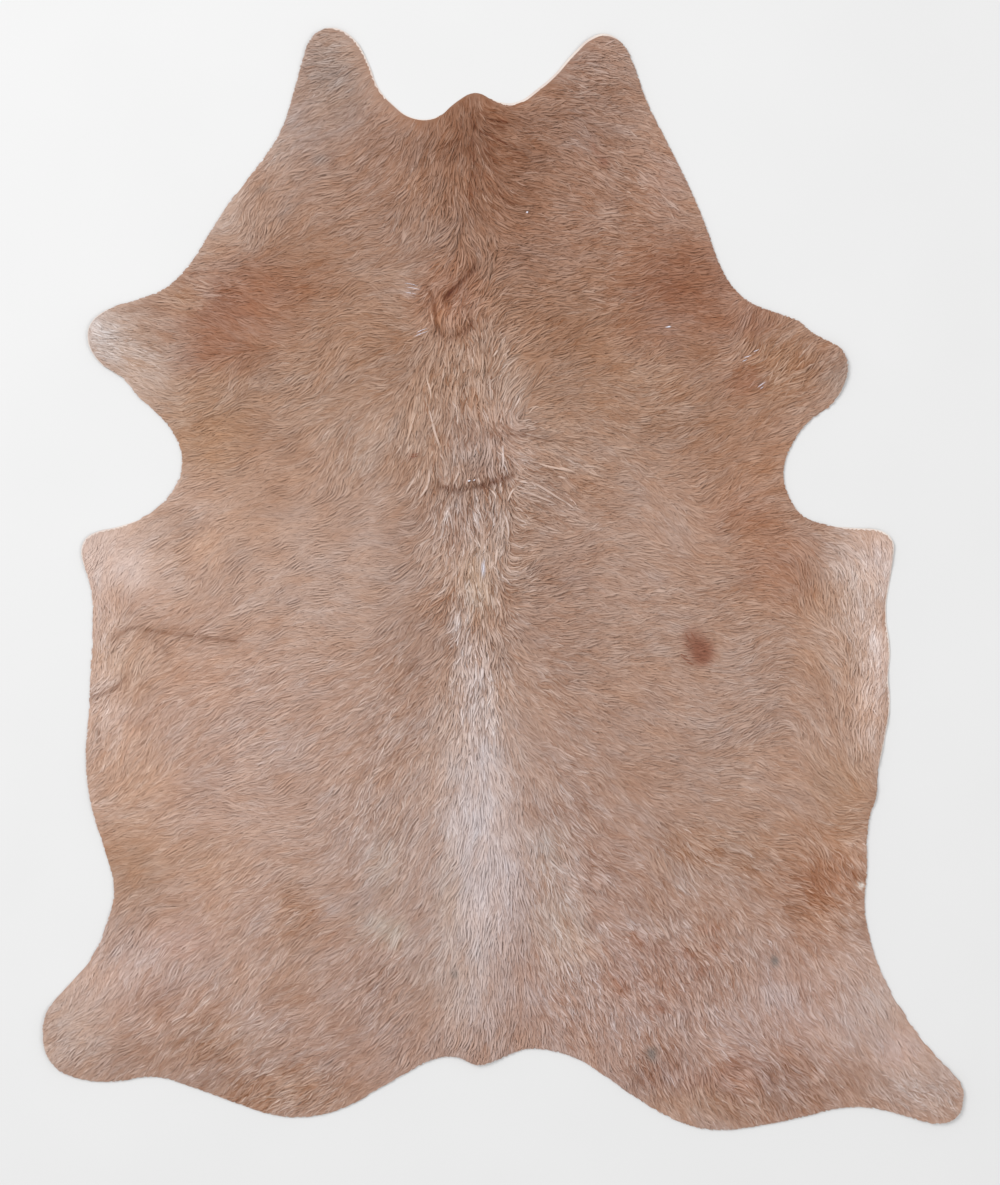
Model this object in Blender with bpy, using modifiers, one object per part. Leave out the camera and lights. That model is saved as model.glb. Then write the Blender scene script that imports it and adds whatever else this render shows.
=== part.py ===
# Cowhide rug: one hair-on hide, laid flat with its hair side up
#
# Metres, +Z up. +Y runs from tail to neck and +X to the hide's right-hand edge as seen from above.
# The origin is on the floor, under the middle of the hide's outline.
#
# The hide is one solid. Its underside is a triangulated sheet inside the cut outline, flat on the
# floor but for a few folds and lifted edges. Solidify gives it the thickness of the leather with
# its lying hair, which is least at the cut edge and most along the spine.

from collections import namedtuple
from math import ceil, cos, exp, pi, radians, sin, sqrt

import bpy
import numpy as np
from mathutils import Vector
from mathutils.geometry import delaunay_2d_cdt
from mathutils.noise import noise

MM = 0.001

# Thickness of the leather with the hair that lies on it
RIM_THICKNESS = 3.4 * MM
COAT_THICKNESS = 7.0 * MM
SPINE_EXTRA = 3.6 * MM
COAT_UNEVENNESS = 0.7 * MM
COAT_LUMP = 120 * MM
RIM_ROUNDING = 26 * MM

# Steps of the sheet's mesh
SHEET_STEP = 56 * MM
CURVE_STEPS = 3
FOLD_STEP = 24 * MM
# Rings of points inside the cut edge: distance from it, and how many outline points each one skips
Ring = namedtuple("Ring", "inset every")
RINGS = (
    Ring(7 * MM, 1),
    Ring(24 * MM, 2),
)

# The cut outline, in mm across and along, clockwise as seen from above. A hand-cut edge swings and
# nicks all the way round, so each stretch has a point where its curve turns.
OUTLINE = {
    "left neck lobe": (
        (-348, 1103), (-304, 1086), (-268, 1030), (-250, 985), (-220, 950),
    ),
    "poll, between its two notches": (
        (-181, 924), (-134, 925), (-96, 955), (-55, 975), (-12, 957), (24, 954),
    ),
    "right neck lobe": (
        (72, 984), (107, 1015), (127, 1038), (148, 1060), (172, 1081), (207, 1091), (244, 1066),
        (264, 1023),
    ),
    "right shoulder": (
        (288, 957), (330, 872), (382, 766), (408, 702), (433, 633), (455, 592), (489, 558),
    ),
    "right foreleg": (
        (552, 532), (594, 516), (614, 498), (654, 475), (677, 461), (690, 428), (680, 384),
        (654, 345), (614, 317), (585, 280), (562, 214),
    ),
    "right flank corner": (
        (572, 168), (599, 128), (642, 110), (713, 102), (745, 100), (769, 90), (782, 71), (782, 52),
    ),
    "right flank": (
        (776, 4), (767, -60), (775, -150), (771, -202), (775, -240), (766, -312), (750, -390),
        (747, -436), (733, -482), (728, -600), (724, -646),
    ),
    "right hind leg": (
        (734, -716), (756, -783), (800, -865), (854, -940), (886, -975), (917, -1010),
        (920, -1044), (908, -1076), (876, -1090), (819, -1079), (750, -1061), (679, -1059),
    ),
    "right rump": (
        (610, -1075), (517, -1094), (422, -1103), (354, -1087), (272, -1042), (194, -988),
        (154, -963), (86, -943),
    ),
    "tail stub": (
        (39, -943), (-5, -960), (-50, -973), (-94, -957), (-142, -963), (-184, -984),
    ),
    "left rump": (
        (-246, -1019), (-308, -1054), (-376, -1075), (-448, -1075), (-538, -1048), (-627, -1016),
    ),
    "left hind leg": (
        (-696, -997), (-790, -1007), (-860, -997), (-898, -975), (-920, -922), (-912, -864),
        (-868, -809), (-823, -756), (-794, -692),
    ),
    "left flank": (
        (-779, -624), (-794, -554), (-822, -464), (-835, -371), (-830, -278), (-825, -172),
        (-821, -76), (-825, -17),
    ),
    "left flank corner": (
        (-839, 28), (-844, 55), (-836, 80), (-812, 95), (-774, 104), (-712, 129), (-662, 176),
    ),
    "left foreleg": (
        (-643, 232), (-658, 288), (-704, 342), (-736, 371), (-750, 391), (-770, 408), (-792, 420),
        (-822, 453), (-831, 484), (-825, 511), (-803, 533), (-776, 546), (-740, 557),
    ),
    "left shoulder": (
        (-676, 583), (-626, 632), (-588, 692), (-536, 770), (-477, 846), (-441, 906), (-420, 973),
        (-401, 1041), (-382, 1084),
    ),
}

# Folds that stand up as soft ridges: their two ends, how far the middle bows to the left of the
# line from start to end, their half width, and how high they stand, all in mm
Fold = namedtuple("Fold", "name start end bow half_width rise")
FOLDS = (
    Fold("across the withers", (-124, 190), (16, 208), -14, 15, 5.5),
    Fold("above the withers", (-30, 292), (96, 276), 7, 13, 4.0),
    Fold("slanting on the neck", (-60, 618), (-116, 562), 0, 13, 3.5),
    Fold("whorl of the neck", (-152, 584), (-84, 494), -22, 14, 3.5),
    Fold("long wrinkle of the left flank", (-790, -112), (-530, -124), 12, 15, 5.0),
    Fold("pucker at the left edge", (-826, -238), (-756, -204), -6, 14, 4.5),
)

# Places where the hide doesn't lie quite flat: centre, reach and rise, in mm
Swell = namedtuple("Swell", "name centre reach rise")
SWELLS = (
    Swell("left neck lobe", (-345, 1080), 120, 5.0),
    Swell("right neck lobe", (185, 1075), 110, 4.0),
    Swell("left foreleg tip", (-812, 480), 110, 6.0),
    Swell("right foreleg tip", (680, 425), 110, 5.0),
    Swell("left flank corner", (-835, 45), 90, 4.5),
    Swell("right flank corner", (762, 70), 80, 4.0),
    Swell("left hind foot", (-905, -930), 130, 5.5),
    Swell("right hind foot", (905, -1050), 130, 6.0),
    Swell("tail stub", (-50, -965), 80, 3.5),
)

# Ripples along an edge that was stretched when it was tanned, in mm
Ripple = namedtuple("Ripple", "name start end wavelength reach rise")
RIPPLES = (
    Ripple("right flank edge", (768, -20), (728, -640), 74, 62, 4.0),
    Ripple("left flank edge", (-828, -300), (-800, -560), 98, 55, 2.5),
    Ripple("left foreleg lower edge", (-800, 424), (-668, 316), 62, 40, 2.5),
)

# Spine: the line from withers to tail along which the hair is longest
SPINE_TOP = Vector((-40, 640)) * MM
SPINE_END = Vector((-50, -930)) * MM
SPINE_HALF_WIDTH_TOP = 95 * MM
SPINE_HALF_WIDTH_END = 55 * MM
SPINE_FADE = 160 * MM

# Rows of points along a fold, placed across it by shares of its half width
FOLD_ROWS = (-1.25, -0.5, 0.0, 0.5, 1.25)
# A new point of the sheet keeps at least this share of its own step from every point set before
# it, and a fold's point at least this share of the fold's half width
CLEARANCE = 0.6
FOLD_CLEARANCE = 0.35

HAIR_COLOR = (0.423, 0.252, 0.168, 1.0)
HAIR_ROUGHNESS = 0.7


def remove_scene_objects():
    """Empties the scene."""
    for obj in list(bpy.data.objects):
        bpy.data.objects.remove(obj, do_unlink=True)


def new_collection(name):
    """Makes a collection in the scene."""
    collection = bpy.data.collections.new(name)
    bpy.context.scene.collection.children.link(collection)
    return collection


def hair_material():
    """Tan cow hair, a little glossy."""
    material = bpy.data.materials.new("tan_cow_hair")
    material.use_nodes = True
    shader = material.node_tree.nodes["Principled BSDF"]
    shader.inputs["Base Color"].default_value = HAIR_COLOR
    shader.inputs["Roughness"].default_value = HAIR_ROUGHNESS
    shader.inputs["Metallic"].default_value = 0.0
    material.diffuse_color = HAIR_COLOR
    return material


def outline_points():
    """The cut outline as an array of points, read from one smooth closed curve."""
    control = [point for stretch in OUTLINE.values() for point in stretch]
    curve = bpy.data.curves.new("cut_outline", "CURVE")
    curve.dimensions = "2D"
    curve.fill_mode = "NONE"
    curve.resolution_u = CURVE_STEPS
    spline = curve.splines.new("BEZIER")
    spline.bezier_points.add(len(control) - 1)
    spline.use_cyclic_u = True
    for bezier_point, (across, along) in zip(spline.bezier_points, control):
        bezier_point.co = (across * MM, along * MM, 0.0)
        bezier_point.handle_left_type = "AUTO"
        bezier_point.handle_right_type = "AUTO"
    guide = bpy.data.objects.new("cut_outline", curve)
    bpy.context.scene.collection.objects.link(guide)
    bpy.context.view_layer.update()
    mesh = bpy.data.meshes.new_from_object(guide.evaluated_get(bpy.context.evaluated_depsgraph_get()))
    points = np.array([vertex.co[:2] for vertex in mesh.vertices])
    bpy.data.objects.remove(guide)
    bpy.data.curves.remove(curve)
    bpy.data.meshes.remove(mesh)
    return points


def distances_to_outline(points, outline):
    """Distance from each point to the nearest part of the outline."""
    start = outline
    along = np.roll(outline, -1, axis=0) - start
    offset = points[:, None, :] - start[None, :, :]
    share = np.clip((offset * along).sum(axis=2) / (along**2).sum(axis=1), 0.0, 1.0)
    nearest = offset - share[:, :, None] * along
    return np.sqrt((nearest**2).sum(axis=2)).min(axis=1)


def is_inside(points, outline):
    """Which points lie inside the outline, by counting the edges that a line from each crosses."""
    x, y = points[:, 0][:, None], points[:, 1][:, None]
    x0, y0 = outline[:, 0], outline[:, 1]
    x1, y1 = np.roll(x0, -1), np.roll(y0, -1)
    spans = (y0 > y) != (y1 > y)
    rise = np.where(y1 == y0, 1.0, y1 - y0)
    crossing = x0 + (y - y0) * (x1 - x0) / rise
    return (spans & (x < crossing)).sum(axis=1) % 2 == 1


def inset_ring(outline, ring):
    """Points at one distance inside the cut edge, left out where a tight bend crowds them."""
    run = np.roll(outline, -1, axis=0) - np.roll(outline, 1, axis=0)
    length = np.sqrt((run**2).sum(axis=1))[:, None]
    inward = np.column_stack((run[:, 1], -run[:, 0])) / length
    points = (outline + inward * ring.inset)[:: ring.every]
    clear = distances_to_outline(points, outline) > 0.9 * ring.inset
    return points[clear & is_inside(points, outline)]


def fold_frame(fold):
    """A fold's start, its unit direction, its unit normal and its length, in metres."""
    start = Vector(fold.start) * MM
    end = Vector(fold.end) * MM
    along = (end - start).normalized()
    return start, along, Vector((-along.y, along.x)), (end - start).length


def fold_points(fold):
    """Rows of points along a fold, so that the sheet's faces follow its ridge."""
    start, along, normal, length = fold_frame(fold)
    steps = ceil(length / FOLD_STEP)
    points = []
    for step in range(steps + 1):
        share = step / steps
        bow = fold.bow * MM * 4.0 * share * (1.0 - share)
        for row in FOLD_ROWS:
            point = start + along * (share * length) + normal * (bow + row * fold.half_width * MM)
            points.append(tuple(point))
    return np.array(points)


def grid_points(outline):
    """Staggered rows of points over the hide's bounding box."""
    low = outline.min(axis=0)
    high = outline.max(axis=0)
    row_step = SHEET_STEP * sqrt(0.75)
    points = []
    for row in range(ceil((high[1] - low[1]) / row_step)):
        shift = SHEET_STEP * 0.5 * (row % 2)
        for column in range(ceil((high[0] - low[0]) / SHEET_STEP) + 1):
            points.append((low[0] + shift + column * SHEET_STEP, low[1] + (row + 0.5) * row_step))
    return np.array(points)


def place(points, placed, clearance):
    """Adds to the placed points each new one that lies at least the clearance from all of them."""
    for point in points:
        if np.sqrt(((placed - point) ** 2).sum(axis=1)).min() > clearance:
            placed = np.vstack((placed, point))
    return placed


def sheet_points(outline):
    """Every point of the sheet: the cut edge, its rings, the folds' rows and the open field."""
    placed = outline
    for ring in RINGS:
        placed = place(inset_ring(outline, ring), placed, ring.inset * CLEARANCE)
    for fold in FOLDS:
        rows = fold_points(fold)
        inside = is_inside(rows, outline) & (distances_to_outline(rows, outline) > RINGS[0].inset)
        placed = place(rows[inside], placed, fold.half_width * MM * FOLD_CLEARANCE)
    field = grid_points(outline)
    return place(field[is_inside(field, outline)], placed, SHEET_STEP * CLEARANCE)


def bump(share):
    """A smooth bump: 1 where share is 0, falling to 0 where it reaches 1 or -1."""
    return cos(min(abs(share), 1.0) * pi / 2.0) ** 2


def fold_rise(fold, point):
    """How high one fold lifts a point."""
    start, along, normal, length = fold_frame(fold)
    offset = point - start
    share = offset.dot(along) / length
    bow = fold.bow * MM * 4.0 * share * (1.0 - share)
    across = (offset.dot(normal) - bow) / (1.25 * fold.half_width * MM)
    return fold.rise * MM * bump(across) * bump(2.0 * share - 1.0) ** 0.5


def swell_rise(swell, point):
    """How high one swell lifts a point."""
    return swell.rise * MM * bump((point - Vector(swell.centre) * MM).length / (swell.reach * MM))


def ripple_rise(ripple, point):
    """How high the ripples of one edge lift a point."""
    start = Vector(ripple.start) * MM
    end = Vector(ripple.end) * MM
    along = (end - start).normalized()
    offset = point - start
    run = offset.dot(along)
    reach = bump((offset - along * run).length / (ripple.reach * MM))
    ends = bump(2.0 * run / (end - start).length - 1.0) ** 0.5
    return ripple.rise * MM * reach * ends * sin(pi * run / (ripple.wavelength * MM)) ** 2


def floor_lift(point):
    """Height of the hide's underside over the floor."""
    lift = sum(fold_rise(fold, point) for fold in FOLDS)
    lift += sum(swell_rise(swell, point) for swell in SWELLS)
    lift += sum(ripple_rise(ripple, point) for ripple in RIPPLES)
    return lift


def spine_share(point):
    """How much of the spine's long hair a point has, from 0 to 1."""
    run = (SPINE_END - SPINE_TOP).length
    along = (SPINE_END - SPINE_TOP) / run
    offset = point - SPINE_TOP
    share = offset.dot(along) / run
    within = min(max(share, 0.0), 1.0)
    half_width = SPINE_HALF_WIDTH_TOP + (SPINE_HALF_WIDTH_END - SPINE_HALF_WIDTH_TOP) * within
    across = (offset - along * offset.dot(along)).length / half_width
    past_end = max(share - 1.0, -share, 0.0) * run / SPINE_FADE
    return exp(-(across**2)) * bump(past_end) * (1.0 - 0.5 * within)


def coat_thickness(point, edge_distance):
    """Thickness of the leather and its hair at a point."""
    unevenness = COAT_UNEVENNESS * noise(Vector((point.x, point.y, 0.0)) / COAT_LUMP)
    full = COAT_THICKNESS + SPINE_EXTRA * spine_share(point) + unevenness
    share = min(edge_distance / RIM_ROUNDING, 1.0)
    rounded = sqrt(1.0 - (1.0 - share) ** 2)
    return RIM_THICKNESS + (full - RIM_THICKNESS) * rounded


def make_hide(collection):
    """The hide: its underside as a sheet, and the coat's thickness on top of it."""
    outline = outline_points()
    points = [Vector(point) for point in sheet_points(outline)]
    cut_edge = list(range(len(outline)))
    triangles_inside = 1
    points, _, faces, *_ = delaunay_2d_cdt(points, [], [cut_edge], triangles_inside, 1e-6)
    distance = distances_to_outline(np.array([tuple(point) for point in points]), outline)
    mesh = bpy.data.meshes.new("hide")
    mesh.from_pydata([(point.x, point.y, floor_lift(point)) for point in points], [], faces)
    mesh.materials.append(hair_material())
    hide = bpy.data.objects.new("hide", mesh)
    collection.objects.link(hide)

    thickness = [coat_thickness(point, edge) for point, edge in zip(points, distance)]
    thickest = max(thickness)
    group = hide.vertex_groups.new(name="coat")
    for index, value in enumerate(thickness):
        group.add([index], value / thickest, "REPLACE")
    solidify = hide.modifiers.new("coat", "SOLIDIFY")
    solidify.thickness = thickest
    solidify.offset = 1.0
    solidify.vertex_group = group.name
    solidify.thickness_vertex_group = 0.0
    mesh.shade_smooth()
    mesh.set_sharp_from_angle(angle=radians(40))
    return hide


def main():
    """Builds the rug."""
    remove_scene_objects()
    rug = new_collection("cowhide_rug")
    make_hide(rug)


main()
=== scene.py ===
"""The looks of a hair-on cowhide rug: its leather, its coat of hair, and a plain studio round it.

Lengths in the tables are in millimetres, as across and along the hide: across runs to its
right-hand edge as seen from above, and along runs from the tail to the neck.
"""
import logging
from dataclasses import dataclass, field
from enum import Enum
from itertools import starmap
from math import ceil, pi, radians
from typing import Callable, NamedTuple, Sequence

import bmesh
import bpy
import numpy as np
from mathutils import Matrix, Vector
from mathutils.bvhtree import BVHTree
from mathutils.geometry import delaunay_2d_cdt


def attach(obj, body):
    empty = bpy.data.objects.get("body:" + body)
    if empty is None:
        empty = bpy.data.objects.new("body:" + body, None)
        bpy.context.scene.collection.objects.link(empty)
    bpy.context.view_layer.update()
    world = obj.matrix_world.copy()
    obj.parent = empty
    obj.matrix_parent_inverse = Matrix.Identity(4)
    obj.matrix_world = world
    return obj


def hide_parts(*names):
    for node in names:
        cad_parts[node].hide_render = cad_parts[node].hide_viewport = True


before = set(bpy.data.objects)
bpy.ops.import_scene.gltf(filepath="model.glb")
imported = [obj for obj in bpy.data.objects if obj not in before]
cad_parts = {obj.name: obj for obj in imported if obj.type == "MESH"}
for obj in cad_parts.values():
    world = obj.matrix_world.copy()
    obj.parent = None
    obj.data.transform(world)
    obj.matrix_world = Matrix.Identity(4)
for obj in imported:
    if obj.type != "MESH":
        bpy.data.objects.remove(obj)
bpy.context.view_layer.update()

log = logging.getLogger("cowhide_rug")

MM = 0.001
Rows = tuple[tuple[float, ...], ...]
Sockets = dict[str | int, object]


class Shade(Enum):
    """The colours of the hair, the leather and the studio, as sRGB hex values."""

    FAWN = "#AC8D7C"
    ROSY_FAWN = "#B99B8C"
    ROSE_GREY = "#B2978C"
    NECK_BROWN = "#A17F6D"
    RUST = "#9A6D58"
    POLL_BROWN = "#86604B"
    WARM_TAN = "#B08C74"
    OCHRE_TAN = "#A7836B"
    GREY_FAWN = "#A79287"
    PALE_LEG = "#C8B7AF"
    PALE_FLANK = "#D5BEB4"
    CREAM = "#C7B7B3"
    STRAW_CREAM = "#BCA593"
    COCOA = "#86543F"
    LILAC_WHITE = "#D6D3DE"
    SLATE = "#80736C"
    CUT_LEATHER = "#DDD3CB"
    SUEDE = "#B9A895"
    STUDIO_GREY = "#D6D6D6"
    STUDIO_PALE = "#DADADA"
    LAMP_WHITE = "#FFFFFF"

    @property
    def parts(self) -> np.ndarray:
        """Its three sRGB parts, from 0 to 1."""
        return np.array([int(self.value[at : at + 2], 16) for at in (1, 3, 5)]) / 255.0

    @property
    def linear(self) -> tuple[float, float, float, float]:
        """Its linear parts and full opacity, as a shader's socket takes them."""
        return (*to_linear(self.parts), 1.0)


# What a step towards lighter hair adds to red, green and blue: cow hair pales by going cooler
FROSTING = np.array((0.72, 1.03, 1.25))
# The same between neighbouring locks, for their own differences and for the painted light and shade of roots,
# partings and the strands beside pale wisps, which are nearly without hue
SHADING = np.array((0.82, 1.02, 1.16))
# A step towards ginger hair, for hues that change where the lightness doesn't
BLUSH = np.array((0.55, -0.15, -0.75))
# A step towards rosier hair
ROSE = np.array((0.3, -0.6, 0.3))
# What the painted shade in a crease takes off: a darkening that stands in for the shade falling into it
CREASE_PAINTED_SHADE = np.array((0.25, 0.27, 0.28))


def to_linear(colour: np.ndarray) -> np.ndarray:
    """Turns sRGB parts into the linear ones that shaders take.

    Args:
        colour: sRGB parts from 0 to 1, in any array.

    Returns:
        The linear parts, in the same array shape.
    """
    colour = np.clip(colour, 0.0, 1.0)
    return np.where(colour <= 0.04045, colour / 12.92, ((colour + 0.055) / 1.055) ** 2.4)


def laid_over(colour: np.ndarray, shade: Shade, share: np.ndarray) -> np.ndarray:
    """Each row of a colour array, moved towards a shade by its share."""
    return colour + (shade.parts - colour) * share[:, None]


def smooth_fall(share: np.ndarray) -> np.ndarray:
    """Falls smoothly from 1 where the share of a reach is 0, to 0 where it is 1 or more."""
    rest = np.clip(1.0 - share, 0.0, 1.0)
    return rest * rest * (3.0 - 2.0 * rest)


def unit_heading(angle: np.ndarray) -> np.ndarray:
    """The unit headings at angles in radians from the across axis, one row each."""
    return np.column_stack((np.cos(angle), np.sin(angle)))


def unit(vectors: np.ndarray) -> np.ndarray:
    """The same vectors, at length 1, along an array's last axis."""
    return vectors / np.maximum(np.sqrt((vectors**2).sum(axis=-1, keepdims=True)), 1e-12)


def lattice(columns: int, rows: int, stagger: float = 0.0) -> np.ndarray:
    """The column and row of each node of a lattice, with every second row moved on by the stagger."""
    row, column = np.divmod(np.arange(rows * columns), columns)
    return np.column_stack((column + stagger * (row % 2), row))


def along_line(corners: np.ndarray, least: int, step: float = 1.0, closed: bool = False) -> np.ndarray:
    """Sets points evenly along a line of straight runs.

    Args:
        corners: the line's corners in metres, one row each.
        least: the least number of points.
        step: how far apart they may lie, in metres.
        closed: whether the line runs back to its first corner.

    Returns:
        The points, with none on the closing corner.
    """
    if closed:
        corners = np.vstack((corners, corners[:1]))
    run = np.concatenate(([0.0], np.cumsum(np.sqrt((np.diff(corners, axis=0) ** 2).sum(axis=1)))))
    stops = np.linspace(0.0, run[-1], max(least, ceil(run[-1] / step) + closed))
    line = np.column_stack([np.interp(stops, run, corners[:, axis]) for axis in (0, 1)])
    return line[:-1] if closed else line


@dataclass(frozen=True)
class Oval:
    """An oval part of the hide, which counts fully in its middle and not at all past its reach."""

    place: str
    across: float
    along: float
    reach_across: float
    reach_along: float

    def weight(self, points: np.ndarray, turn: float = 0.0) -> np.ndarray:
        """Tells how much this part counts at each place.

        Args:
            points: places in metres.
            turn: how far the oval is turned, in degrees.

        Returns:
            One weight for each, from 0 to 1.
        """
        turn = radians(turn)
        offset = points[:, :2] / MM - (self.across, self.along)
        across = (offset[:, 0] * np.cos(turn) + offset[:, 1] * np.sin(turn)) / self.reach_across
        along = (offset[:, 1] * np.cos(turn) - offset[:, 0] * np.sin(turn)) / self.reach_along
        return smooth_fall(np.sqrt(across**2 + along**2))


@dataclass(frozen=True)
class Patch(Oval):
    """A patch of one shade in the coat, turned by some degrees, with its edge more or less ragged."""

    shade: Shade
    strength: float
    turn: float = 0.0
    ragged: float = 1.0

    def cover(self, points: np.ndarray) -> np.ndarray:
        """The share of the patch's shade at each place, from 0 to 1."""
        return self.strength * self.weight(points, self.turn)


PATCHES = tuple(starmap(Patch, (
    # Broad shades of the body first, then the zones that lie on them
    ("left side", -560, -330, 560, 760, Shade.ROSY_FAWN, 1.0),
    ("left side, upper", -300, 130, 330, 300, Shade.ROSE_GREY, 0.6),
    ("lower middle", 80, -640, 380, 480, Shade.ROSE_GREY, 0.8),
    ("lower right", 480, -860, 440, 300, Shade.ROSE_GREY, 0.6),
    ("neck", 20, 760, 620, 460, Shade.NECK_BROWN, 1.0),
    ("upper right", 280, 420, 420, 330, Shade.OCHRE_TAN, 0.7),
    ("right side, inner", 110, -20, 130, 260, Shade.NECK_BROWN, 0.5),
    ("left of the spine", -165, -130, 100, 260, Shade.NECK_BROWN, 0.5),
    # Neck and poll
    ("poll", -40, 895, 150, 115, Shade.POLL_BROWN, 1.0),
    ("below the poll", -60, 800, 130, 150, Shade.POLL_BROWN, 0.55),
    ("right of the poll", 60, 800, 120, 130, Shade.POLL_BROWN, 0.45),
    ("neck centre", -105, 560, 110, 130, Shade.RUST, 0.75),
    ("left neck lobe", -350, 1000, 120, 170, Shade.GREY_FAWN, 1.0),
    ("left neck edge", -455, 855, 60, 70, Shade.PALE_LEG, 0.4),
    ("right neck lobe", 200, 1050, 120, 90, Shade.ROSE_GREY, 0.35),
    ("right neck edge", 320, 800, 70, 120, Shade.ROSE_GREY, 0.7),
    ("bare place on the left neck", -560, 735, 70, 75, Shade.PALE_LEG, 0.6),
    # Shoulders and forelegs
    ("left shoulder", -545, 530, 200, 150, Shade.RUST, 1.0),
    ("left shoulder, low", -590, 450, 130, 70, Shade.RUST, 0.7),
    ("left shoulder, inner", -430, 590, 170, 90, Shade.RUST, 0.4),
    ("left shoulder, rim", -640, 570, 80, 50, Shade.WARM_TAN, 0.6),
    ("left foreleg", -730, 430, 130, 130, Shade.PALE_LEG, 0.75),
    ("left foreleg tip", -800, 490, 95, 90, Shade.PALE_LEG, 1.0),
    ("left armpit", -600, 290, 150, 170, Shade.WARM_TAN, 0.9),
    ("below the left armpit", -620, 160, 150, 90, Shade.ROSY_FAWN, 0.9),
    ("right shoulder", 380, 570, 230, 190, Shade.RUST, 0.95),
    ("right shoulder, rim", 430, 640, 80, 90, Shade.RUST, 0.4),
    ("right shoulder, low", 500, 500, 120, 60, Shade.RUST, 0.5),
    ("right foreleg", 560, 420, 130, 130, Shade.OCHRE_TAN, 0.8),
    ("rust on the right foreleg", 480, 400, 70, 60, Shade.RUST, 0.6),
    ("right foreleg tip", 665, 405, 55, 60, Shade.GREY_FAWN, 0.9),
    ("right armpit", 500, 130, 130, 90, Shade.RUST, 0.35),
    # Body
    ("pale left of the withers", -270, 250, 120, 170, Shade.PALE_LEG, 0.35),
    ("withers", -40, 260, 140, 170, Shade.ROSE_GREY, 0.9),
    ("below the withers", -90, 110, 110, 110, Shade.ROSE_GREY, 0.6),
    ("left flank, top", -770, 10, 150, 165, Shade.PALE_FLANK, 0.9, 0, 1.5),
    ("left flank, corner", -800, 50, 90, 90, Shade.PALE_FLANK, 0.7),
    ("left flank", -745, -170, 110, 120, Shade.WARM_TAN, 0.5),
    ("left flank, edge", -800, -260, 60, 160, Shade.PALE_FLANK, 0.35),
    ("left flank, middle", -740, -420, 130, 150, Shade.WARM_TAN, 0.4),
    ("left flank, low", -755, -570, 150, 140, Shade.OCHRE_TAN, 0.85),
    ("inside the left flank, low", -600, -560, 150, 90, Shade.WARM_TAN, 0.5),
    ("right flank, top", 745, 35, 115, 130, Shade.PALE_FLANK, 0.95, 0, 1.5),
    ("right flank, high", 700, -30, 110, 150, Shade.PALE_LEG, 0.65),
    ("right flank, inner", 560, 20, 120, 120, Shade.RUST, 0.4),
    ("right flank, edge", 745, -180, 60, 210, Shade.PALE_FLANK, 0.75),
    ("right flank, middle", 640, -150, 110, 190, Shade.WARM_TAN, 0.35),
    ("right flank, low", 655, -605, 140, 90, Shade.RUST, 0.35),
    ("right flank, lower edge", 680, -430, 110, 150, Shade.OCHRE_TAN, 0.8),
    ("right side, low", 450, -520, 210, 110, Shade.OCHRE_TAN, 0.4),
    ("mottled right haunch", 300, -790, 170, 90, Shade.RUST, 0.25, 0, 2.5),
    ("rust flecks on the right haunch", 184, -682, 34, 22, Shade.RUST, 0.5, -40),
    ("rust fleck 2", 244, -812, 24, 34, Shade.RUST, 0.6, 20),
    ("rust fleck 3", 274, -732, 40, 18, Shade.RUST, 0.5, -20),
    ("rust fleck 4", 304, -752, 26, 20, Shade.RUST, 0.5),
    ("rust fleck 5", 314, -862, 34, 22, Shade.RUST, 0.5),
    ("rust fleck 6", 374, -752, 34, 20, Shade.RUST, 0.6, -15),
    ("rust fleck 7", 404, -792, 26, 26, Shade.RUST, 0.55),
    ("rust fleck 8", 434, -742, 28, 18, Shade.RUST, 0.5),
    ("rust fleck 9", 424, -702, 36, 16, Shade.RUST, 0.5, 10),
    ("mottled right rump", 430, -1010, 200, 70, Shade.RUST, 0.4, 0, 2.5),
    ("brown band on the left haunch", -412, -690, 80, 190, Shade.OCHRE_TAN, 0.35, 0, 1.4),
    ("brown spot below it", -440, -815, 80, 60, Shade.OCHRE_TAN, 0.2),
    ("straw patch, left haunch", -242, -702, 88, 62, Shade.STRAW_CREAM, 0.9, -35),
    ("straw patch, upper", -236, -580, 60, 90, Shade.STRAW_CREAM, 0.4),
    ("straw patch, right haunch", 120, -700, 110, 170, Shade.STRAW_CREAM, 0.5, 15),
    # Hind legs and rumps
    ("left hind leg", -770, -800, 190, 150, Shade.PALE_LEG, 0.6),
    ("left foot", -860, -890, 120, 130, Shade.PALE_LEG, 0.6),
    ("left rump edge", -420, -1040, 260, 90, Shade.OCHRE_TAN, 0.7),
    ("left haunch, dark", -560, -930, 170, 80, Shade.OCHRE_TAN, 0.5),
    ("right hind leg", 690, -850, 190, 160, Shade.PALE_LEG, 0.65),
    ("right foot", 840, -1010, 140, 110, Shade.PALE_LEG, 0.5),
    ("right rump edge", 400, -1060, 230, 70, Shade.OCHRE_TAN, 0.7),
    # The cream stripe down the spine
    ("stripe, start", -48, -10, 48, 130, Shade.STRAW_CREAM, 0.5, 0, 0.4),
    ("stripe, left of its start", -88, -110, 34, 110, Shade.CREAM, 0.55, 0, 0.4),
    ("stripe, upper", -52, -190, 66, 190, Shade.CREAM, 0.75, 0, 0.4),
    ("stripe, middle", -42, -430, 112, 280, Shade.CREAM, 0.95, 0, 0.5),
    ("stripe, lower", -50, -640, 120, 240, Shade.CREAM, 0.85, 0, 0.5),
    ("stripe, end", -66, -840, 100, 170, Shade.CREAM, 0.4, 0, 0.5),
)))

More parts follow.
